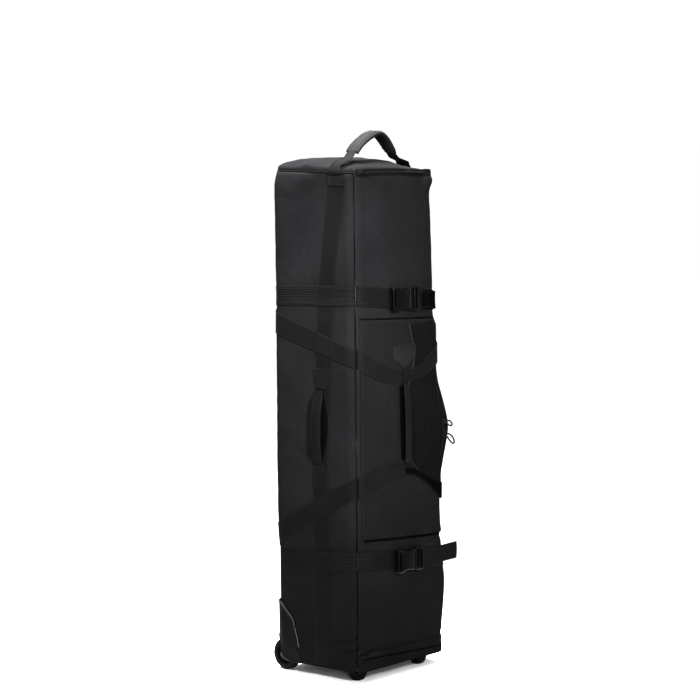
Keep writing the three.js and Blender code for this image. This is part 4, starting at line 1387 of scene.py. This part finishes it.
def buckle_socket(level):
    place = buckle_place(level)
    shape, h = Shape(), BUCKLE_HALF
    shell = [(-52, -h + 3), (-48, -h), (-30, -h), (-22, -h + 4)]
    shell += [(-8, -h + 6), (4, -h + 3), (14, -h + 2), (16, -h + 8)]
    edge = rounded(mirrored(shell), 4)
    bar = rounded(rectangle(-45.5, -38.5, -h + 5, h - 5), 2.5)[::-1]
    shape.plate([edge, bar], place, 4.2, 7.0, 1.0)
    shape.plate([edge, bar], place, 12.6, 17.0, 1.9)
    for sign in (-1, 1):
        rail = rectangle(-51, 4, *sorted((sign * (h - 8), sign * (h - 5))))
        shape.plate([rounded(rail, 1)], place, 6.5, 14.5, 0.5)
    spine = rounded([(-36, -h + 9), (-36, h - 9), (-30, h - 7), (-30, -h + 7)], 1.5)
    shape.plate([spine], place, 6.5, 14.5, 0.5)
    node = f"buckle_socket_{level}"
    shape.build(f"{node}_body", "door", "buckle_plastic", [ACETAL], [node], 50)


def buckle_plug(level):
    place = buckle_place(level)
    shape, h = Shape(), BUCKLE_HALF
    edge = rounded(mirrored([(17.5, -h + 4), (24, -h), (50, -h), (52, -h + 5)]), 3)
    slots = [rounded(rectangle(a, a + 6.5, -h + 4, h - 4), 2.5)[::-1] for a in (27, 40)]
    shape.plate([edge] + slots, place, 5.5, 15.5, 2.0)
    prong = [(18, 12), (-4, 14), (-11, 18), (-8, 22), (0, 23), (18, 21)]
    for sign in (-1, 1):
        shape.plate([rounded([(a, sign * b) for a, b in prong], 2)], place, 8, 13, 0.8)
    shape.plate([rounded(rectangle(-11, 18, -3, 3), 2)], place, 8, 13, 0.8)
    node = f"buckle_plug_{level}"
    shape.build(f"{node}_body", f"{level}_plug", "buckle_plastic", [ACETAL], [node], 50)


# ---- handles -----------------------------------------------------------------------------
def oval_ring(centre, wide, thick, half, depth, sides=16, power=0.75):
    ring = []
    for k in range(sides):
        a = TURN * k / sides
        c, s = math.cos(a), math.sin(a)
        x = math.copysign(abs(c) ** power, c) * half
        y = math.copysign(abs(s) ** power, s) * depth
        ring.append(centre + wide * x + thick * y)
    return ring


def curve_through(stations, count):
    """Smooth values through stations (tuples of equal length), by Catmull-Rom."""
    out = []
    last = len(stations) - 1
    for i in range(count + 1):
        f = last * i / count
        k = min(int(f), last - 1)
        t = f - k
        a, b, c, d = (stations[clamp_index(k + j, last)] for j in (-1, 0, 1, 2))
        out.append(tuple(catmull(*values, t) for values in zip(a, b, c, d)))
    return out


def clamp_index(i, last):
    return min(max(i, 0), last)


def catmull(a, b, c, d, t):
    return 0.5 * (2 * b + (c - a) * t + (2 * a - 5 * b + 4 * c - d) * t**2 + (3 * b - a - 3 * c + d) * t**3)


def arch_sections(stations, count):
    rings, lines = [], {-1: [], 1: []}
    smooth_path = curve_through(stations, count)
    centres = [Vector(s[:3]) for s in smooth_path]
    for i, (_, _, _, half, depth) in enumerate(smooth_path):
        before, after = centres[max(i - 1, 0)], centres[min(i + 1, count)]
        ahead = (after - before).normalized()
        wide = (Vector((0, 1, 0)) - ahead * ahead.y).normalized()
        out = wide.cross(ahead)
        rings.append(oval_ring(centres[i], wide, out, half, depth, 18))
        for sign in lines:
            lines[sign].append(centres[i] + wide * sign * half * 0.7 - out * (depth + 0.2))
    return rings, lines


def carry_handle():
    reach = HALF_TOP + 5.5
    near, far = FRONT_TOP + 60, FRONT_TOP + FAR_SPINE
    web = [(-reach, near, 1243, 22, 1.2), (-reach - 1, near, 1252, 20, 1.2),
           (-reach + 7, near - 2, 1267, 16, 1.4), (-134, -55, 1282, 14, 1.6), (-116, -52, 1294, 13, 1.9),
           (-98, -49, 1305, 14, 2.4), (-80, -46, 1314, 15, 2)]
    tail = [(66, -27, 1300, 15, 2), (80, -25, 1288, 15, 2.4), (94, -22, 1281, 16, 2.0),
            (118, -18, 1276, 18, 1.6), (reach - 8, far, 1270, 20, 1.3), (reach + 1, far, 1254, 22, 1.2),
            (reach, far, 1244, 22, 1.2)]
    wrap_line = [(-107, -49, 1295, 19, 3.6), (-104, -49, 1299, 20, 5.4), (-84, -46, 1313, 20, 6.2),
                 (-46, -41, 1330, 20, 6.6), (-12, -36, 1339, 20, 6.8), (14, -32, 1338, 20, 6.8),
                 (38, -29, 1326, 20, 6.6), (60, -27, 1307, 19, 6.0), (72, -26, 1295, 17, 4.0)]
    shape = Shape()
    for line in (web, tail):
        rings, seams = arch_sections(line, 36)
        shape.loft(rings)
        for seam in seams.values():
            shape.stitches(seam, 1)
    shape.build("carry_handle_webbing", "carry_handle", "webbing", [STRAP, THREAD])
    pad = Shape()
    rings, seams = arch_sections(wrap_line, 70)
    for i, ring in enumerate(rings):
        middle_point = sum(ring, Vector()) / len(ring)
        swell = 1 + 0.05 * lumps(i * 4, 0, 0, 13, 3.0)
        rings[i] = [middle_point + (p - middle_point) * swell for p in ring]
    pad.loft(rings)
    for seam in seams.values():
        pad.stitches(seam, 1)
    closing = [ring[4] + Vector((0, 0, 0.4)) for ring in rings]
    pad.tube(closing, 0.8, 1)
    item = pad.build("carry_handle_wrap", "carry_handle", "webbing", [GRIP_TOP, THREAD], ["top_handle"])
    handle_patches(near, far)


def handle_patches(near, far):
    """The stitched patch at each foot of the carry handle."""
    for name, side, y in (("near", -1, near), ("far", 1, far)):
        shape = Shape()
        u = y - FRONT_TOP
        pairs = [((u - 27, z), (u + 27, z)) for z in runs_between(1214, 1241, 3)]
        ribbon(shape, side_skin(side), pairs, 2.4, 2.0, width=54)
        box_stitch(shape, side_skin(side), u - 22, u + 22, 1218, 1237, 4.6)
        shape.build(f"carry_handle_patch_{name}", "case", "webbing", [STRAP, THREAD])


def bow(stations, count, place, outward, across, fold_in):
    """A strap or pad bowed off a face. Stations are (z, stand-off, half width, half thickness)."""
    rings = []
    for z, stand, half, depth in curve_through(stations, count):
        centre = place(z) + outward * stand
        ring = oval_ring(centre, across, outward, half, depth, 18)
        for k, p in enumerate(ring):
            groove = fold_in * pulse((p - centre).dot(across), 0, half * 0.3)
            if (p - centre).dot(outward) > 0:
                ring[k] = p - outward * groove
        rings.append(ring)
    return rings


def bow_seam(shape, stations, count, place, outward, offset, proud):
    """A row of stitches along the middle of a bowed strap, moved aside by offset."""
    row = []
    for z, stand, _, depth in curve_through(stations[2:7], count):
        row.append(place(z) + outward * (stand + depth + proud) + offset)
    shape.stitches(row, 1)


def side_handle():
    place = lambda z: wrap(-1, 3 - front_y(z), z, side_height(-1, 3 - front_y(z), z) * 0.5)
    out, across = Vector((-1, 0, 0)), Vector((0, 1, 0))
    web = [(535, 10.5, 9, 1.8), (545, 13, 12.5, 2.2), (558, 17, 15.5, 3.2), (585, 21, 14.5, 4.6),
           (625, 22.5, 14.5, 5), (665, 21, 14.5, 4.6), (692, 17, 15.5, 3.2), (705, 13, 12.5, 2.2),
           (715, 10.5, 9, 1.8)]
    shape = Shape()
    shape.loft(bow(web, 90, place, out, across, 1.2))
    for y in (-9, 9):
        bow_seam(shape, web, 50, place, out, across * y, 0.1)
    item = shape.build("side_grip_loop", "side_grip", "webbing", [GRIP_AND_SHADED_STRAP, THREAD], ["side_handle"])
    # A near-black strip under and beside the loop: painted shadow between it and the spine strap.
    shadow_strip, pairs = Shape(), []
    for z in runs_between(542, 708):
        u = 3 - front_y(z)
        pairs.append(((u - 2 - 20 * math.sin(PI * (z - 532) / 186), z), (u + 6, z)))
    ribbon(shadow_strip, side_skin(-1), pairs, 2.1, 0.8, False, width=28)
    shadow_strip.build("side_grip_painted_shadow", "case", "webbing", [BINDING_AND_SHADE])
    side_grip_patches()


def side_grip_patches():
    """The sewn patch at each end of the side grip, pinched and raised where the loop comes out."""
    shape, side = Shape(), side_skin(-1)
    for low, high, end, stitched in ((717, 768, 717, (722, 762)), (470, 533, 533, (476, 514))):
        u = 3 - front_y((low + high) / 2)
        pairs = []
        for z in runs_between(low, high, 3):
            half = 25 - 14 * pulse(z, end, 13)
            pairs.append(((u - half, z), (u + half, z)))
        ribbon(shape, side, pairs, lambda a, z: 2.0 + 2.2 * pulse(z, end, 11))
        box_stitch(shape, side, u - 20, u + 20, *stitched, 3.8)
    shape.build("side_grip_patches", "case", "webbing", [STRAP, THREAD])


def front_grip():
    place = lambda z: door_face(0, z, 0)
    out, across = Vector((0, -1, 0)), Vector((1, 0, 0))
    line = [(531, 9.6, 8, 2.0), (539, 10.5, 10, 3.0), (550, 13.5, 10.5, 4.0), (590, 15.5, 11, 4.6),
            (630, 16, 11.2, 4.8), (670, 15.5, 11, 4.6), (708, 13.5, 10.5, 4.0), (721, 10.8, 9.5, 3.0),
            (729, 9.6, 8, 2.0)]
    shape = Shape()
    shape.loft(bow(line, 90, place, out, across, 0.6))
    for x in (-6.5, 6.5):
        bow_seam(shape, line, 60, place, out, across * x, -0.1)
    # A near-black strip on the door under the grip: painted shadow either side of it.
    shadow_strip = Shape()
    pairs = [((-15, z), (17, z)) for z in runs_between(538, 722)]
    ribbon(shadow_strip, door_skin, pairs, 0.7 + FLAP_THICK, 0.9, False, width=32)
    shadow_strip.build("front_grip_painted_shadow", "door", "webbing", [BINDING_AND_SHADE])
    item = shape.build("front_grip_pad", "front_grip", "webbing", [STRAP, THREAD], ["haul_grip"])


# ---- shield patch ---------------------------------------------------------------------------
def shield():
    """A plain moulded shield with a raised rim and nothing on it."""
    z_top, z_side, z_tip, half = 824, 792, 762, 43
    edge = rounded([(-half, z_top), (half, z_top), (half, z_side), (0, z_tip), (-half, z_side)], 7)
    inner = [(a * 0.86, mix(796, b, 0.86)) for a, b in edge]
    shape = Shape()

    def place(a, b, c):
        layer = pouch_height(a, b) * smooth((a - 12) / 12) if a > 12 else 0
        return door_skin(a, b, 0.6 + FLAP_THICK + layer + c)

    shape.plate([edge], place, 0, 1.8, 0.5)
    shape.plate([edge, inner[::-1]], place, 1.4, 2.8, 0.5)
    row = [place(a * 0.93, mix(796, b, 0.93), 2.9) for a, b in edge + edge[:1]]
    shape.stitches(row, 1, 4.0, 2.6)
    shape.build("shield_patch_plain", "door", "patch", [PATCH, THREAD], ["shield_patch"])


# ---- base, guards, wheels and feet --------------------------------------------------------------
def guard(name, side):
    """The moulded guard round the rear bottom corner, with a rolled rim and two screws; a pale tube along
    the rim's top edge is a painted highlight.
    """
    top = [(64, 60), (67, 76), (87, 141), (124, 176), (147, 180), (400, 180)]
    bottom = [(64, 30), (86, 28), (113, 34), (126, 50), (138, 86), (400, 86)]
    front, flat = front_y(90), flat_depth(90)
    us = [y - front for y in (64, 64.6, 66, 68, 71, 75, 80, 87, 93, 98, 105)]
    us += [flat + REAR_ARC * t for t in steps(0, 1, 14)] + [flat + REAR_ARC + 9, flat + REAR_ARC + 18]
    levels = [0, 0.01, 0.03, 0.06, 0.1] + steps(0.16, 0.84, 10) + [0.9, 0.94, 0.97, 0.99, 1]
    shape, rows = Shape(), []
    for t in levels:
        outer, inner, coords = [], [], []
        for u in us:
            low, high = along(bottom, u + front), along(top, u + front)
            z = mix(low, high, t)
            edge = min(z - low, high - z, u - us[0])
            rim = 1.6 * pulse(edge, 4.0, 2.2)
            under = max(side_height(side, u, z), 0)
            outer.append(wrap(side, u, z, under + 0.8 + 2.2 * quarter_round(edge / 2.5) + rim))
            inner.append(wrap(side, u, z, under * 0.5))
            coords.append((u, z))
        rows.append((outer, inner, coords))
    shape.slab(rows)
    edge_line = [(y - front, along(top, y) - 1.5) for y in (66, 70, 78, 87, 100, 112, 124, 136, 147)]
    rim_highlight_line = [wrap(side, u, z, max(side_height(side, u, z), 0) + 3.4) for u, z in edge_line]
    shape.tube(rim_highlight_line, 1.1, 2)
    for y, z in ((84, 118), (76, 60)):
        under = max(side_height(side, y - front, z), 0)
        centre = wrap(side, y - front, z, 4.0 + under)
        out = (wrap(side, y - front, z, 6.0 + under) - centre).normalized()
        screw = [centre + out * rise for rise in (-0.5, 1.6, 2.2)]
        shape.tube(screw, lambda t: 4.4 if t < 0.7 else 3.2, 1, 16)
    plastics, node = [MOULD, MOULD, RIM_HIGHLIGHT], f"{name}_wheel_guard"
    shape.build(f"{name}_corner_guard", "case", "moulded_plastic", plastics, [node], 60)


def wheel_housing(name, side):
    """The moulded well that the wheel stands in: its walls and its roof."""
    shape, wall, rows = Shape(), 1.6, []
    inside, outside, front, back, top = WHEEL_X - 24, WHEEL_X + 24, 88, 146, 92
    place = lambda a, b, c: Vector((side * a, b, c))
    corners = [(inside, back, 30), (inside, front, 30), (outside, front, 30), (outside, 116, 38)]
    shifts = [(-wall, 0), (-wall, -wall), (0, -wall), (0, 0)]
    for j, t in enumerate(steps(0, 1, 4)):
        outer, inner = [], []
        for (a, b, low), (da, db) in zip(corners, shifts):
            z = mix(low, top, t)
            outer.append(place(a, b, z))
            inner.append(place(a + da, b + db, z))
        rows.append((outer, inner, [(i * 30, j * 15) for i in range(len(corners))]))
    shape.slab(rows)
    rows = []
    for b in steps(front - wall, back, 4):
        under = [place(a, b, top) for a in steps(inside - wall, outside, 4)]
        rows.append(([p + Vector((0, 0, 2)) for p in under], under, [(p.x, p.y) for p in under]))
    shape.slab(rows)
    shape.build(f"{name}_wheel_well", "case", "moulded_plastic", [BASE], (), 30)


def turned(shape, profile, centre, kind=0, segments=64):
    """A ring of revolution about X, from a closed profile of (x, radius)."""
    rings = []
    for k in range(segments):
        a = TURN * k / segments
        rings.append([centre + Vector((x, r * math.cos(a), r * math.sin(a))) for x, r in profile])
    shape.loft(rings, kind, closed=True)


def wheel(name, side):
    centre = Vector((side * WHEEL_X, WHEEL_Y, WHEEL_R))
    w, r = 11, WHEEL_R
    half = [(w, 28), (w, r - 7), (w - 0.8, r - 4.4), (w - 2.6, r - 1.9), (w - 5, r - 0.6)]
    half += [(3.2, r - 0.1), (2.4, r - 1.6), (1.6, r - 1.9)]
    profile = half + [(-x, q) for x, q in reversed(half)]
    tyre = Shape()
    turned(tyre, profile, centre, segments=72)
    tyre.build(f"{name}_wheel_tyre", f"{name}_wheel", "tyre_rubber", [TYRE], [f"{name}_tyre"], 50)
    hub = Shape()
    ring = [(-10, 25.2), (-10, 27.6), (10, 27.6), (10, 25.2), (5, 24.2), (-5, 24.2)]
    boss = [(-10, 11.4), (-10, 14.6), (-6, 15.4), (6, 15.4), (10, 14.6), (10, 11.4)]
    turned(hub, ring, centre)
    turned(hub, boss, centre)
    turned(hub, [(-3, 13), (-3, 25.5), (3, 25.5), (3, 13)], centre)
    spoke = ((14.6, 6, 3.2), (18, 5, 2.6), (22, 5, 2.8), (25.4, 6, 3.6))
    axis = Vector((1, 0, 0))
    for k in range(6):
        a = TURN * k / 6
        out, turn = Vector((0, math.cos(a), math.sin(a))), Vector((0, -math.sin(a), math.cos(a)))
        hub.loft([oval_ring(centre + out * d, axis, turn, h, t, 12) for d, h, t in spoke])
    hub.build(f"{name}_wheel_hub", f"{name}_wheel", "moulded_plastic", [MOULD], [f"{name}_hub"], 45)


def front_foot(name):
    """A moulded foot: rounded block, chamfered sole and two ribs."""
    low, high = (corner * 1000 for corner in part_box(f"{name}_front_foot"))
    x, y = (low.x + high.x) / 2, (low.y + high.y) / 2 - ORIGIN_Y
    shape = Shape()
    levels = [(12.5, 8.5, 0), (14.4, 10.4, 0.5), (15.4, 11.4, 2.2), (17.6, 13.6, 5), (20, 16, 11)]
    levels += [(22.6, 18, 19), (24.2, 19.4, 24), (25.6, 20.6, 26.2), (25.8, 20.8, 27.4)]
    ex, ey = Vector((1, 0, 0)), Vector((0, 1, 0))
    shape.loft([oval_ring(Vector((x, y, z)), ex, ey, a, b, 28, 0.62) for a, b, z in levels])
    for dy in (-12, 12):
        rib = [Vector((x + dx, y + dy * (0.9 + z / 90), z)) for dx, z in ((-8, 16), (8, 16))]
        shape.tube(rib, 1.2, 0, 8)
    shape.build(f"{name}_foot_block", "case", "moulded_plastic", [MOULD], [f"{name}_front_foot"], 60)


def base_trim():
    """Ribs under the base and a rolled lip along the bottom of the fabric."""
    shape = Shape()
    for x in (-60, -20, 20, 60):
        line = [Vector((x, y, 28.3)) for y in steps(-100, 120, 10)]
        shape.tube(line, 1.8, 0, 8)
    lip = []
    for p in outline(BODY_BOTTOM, 0.5, 31.5):
        if not (abs(p.x) > WHEEL_X - 24 and p.y > 96):
            lip.append(p)
    start = max(range(len(lip)), key=lambda i: (lip[i] - lip[i - 1]).length)
    shape.tube(lip[start:] + lip[:start], 1.6, 1)
    shape.build("base_trim", "case", "moulded_plastic", [BASE, BINDING_AND_SHADE])


def build_all():
    case_wrap()
    top_cover()
    front_sill()
    door_cover()
    door_flap()
    hinge_tape()
    for level in ("upper", "lower"):
        near_compression(level, -36)
        far_compression(level, 30)
        near_haul(level)
        far_haul(level)
        buckle_socket(level)
        buckle_plug(level)
    for level in ("top", "bottom"):
        case_slider(level)
    pouch()
    pouch_zip()
    for level, up, length, wide, droop in (("upper", 1, 27, 7.5, 4), ("lower", -1, 35, 11, 15)):
        pouch_slider(level, up)
        pull(level, length, wide, droop)
    zip_half("case_zip_side", "case", 0.4, 9, 1, "case_zip_tape")
    zip_half("door_zip_side", "door", -9, -0.4, -1, "door_zip_tape")
    carry_handle()
    side_handle()
    front_grip()
    shield()
    for name, side in SIDES.items():
        spine_strap(name, side)
        guard(name, side)
        wheel_housing(name, side)
        wheel(name, side)
        front_foot(name)
        dress(f"{name}_wheel_bracket", BASE)
        dress(f"{name}_axle", STEEL)
        dress(f"{name}_bearing", STEEL)
    base_trim()
    dress("base_tray", BASE)
    dress("back_stiffener", BOARD)
    dress("inner_strap", STRAP)


build_all()


# ---- stage: pale floor and soft studio light -------------------------------------------------
def stage():
    size = 60
    mesh = bpy.data.meshes.new("studio_floor")
    corners = [(-size, -size, 0), (size, -size, 0), (size, size, 0), (-size, size, 0)]
    mesh.from_pydata(corners, [], [(0, 1, 2, 3)])
    mesh.materials.append(paper("studio_paper", 0.985))
    floor = bpy.data.objects.new("studio_floor", mesh)
    bpy.context.scene.collection.objects.link(floor)
    world = bpy.context.scene.world or bpy.data.worlds.new("studio")
    bpy.context.scene.world = world
    world.use_nodes = True
    background = world.node_tree.nodes["Background"]
    background.inputs["Color"].default_value = (1, 1, 1, 1)
    background.inputs["Strength"].default_value = 1.03


def softbox(name, place, target, size, power, spread):
    data = bpy.data.lights.new(name, "AREA")
    data.shape, data.size, data.size_y = "RECTANGLE", size[0], size[1]
    data.energy, data.spread = power, math.radians(spread)
    lamp = bpy.data.objects.new(name, data)
    lamp.location = place
    lamp.rotation_euler = (Vector(target) - Vector(place)).to_track_quat("-Z", "Y").to_euler()
    bpy.context.scene.collection.objects.link(lamp)


stage()
softbox("key", (-2.3, -0.9, 2.5), (0, 0.05, 1.28), (0.7, 0.7), 22, 42)
softbox("front_strip", (-1.8, -2.5, 1.9), (-0.17, -0.1, 0.88), (0.25, 1.1), 12.5, 23)
softbox("overhead", (0, 0.3, 2.9), (0, 0.05, 1.2), (0.8, 0.8), 40, 40)
softbox("glint", (-2.6, -2.9, 0.62), (0, -0.15, 0.62), (0.03, 1.1), 13, 60)
bpy.context.scene.view_settings.view_transform = "Standard"
bpy.context.scene.view_settings.gamma = 0.7
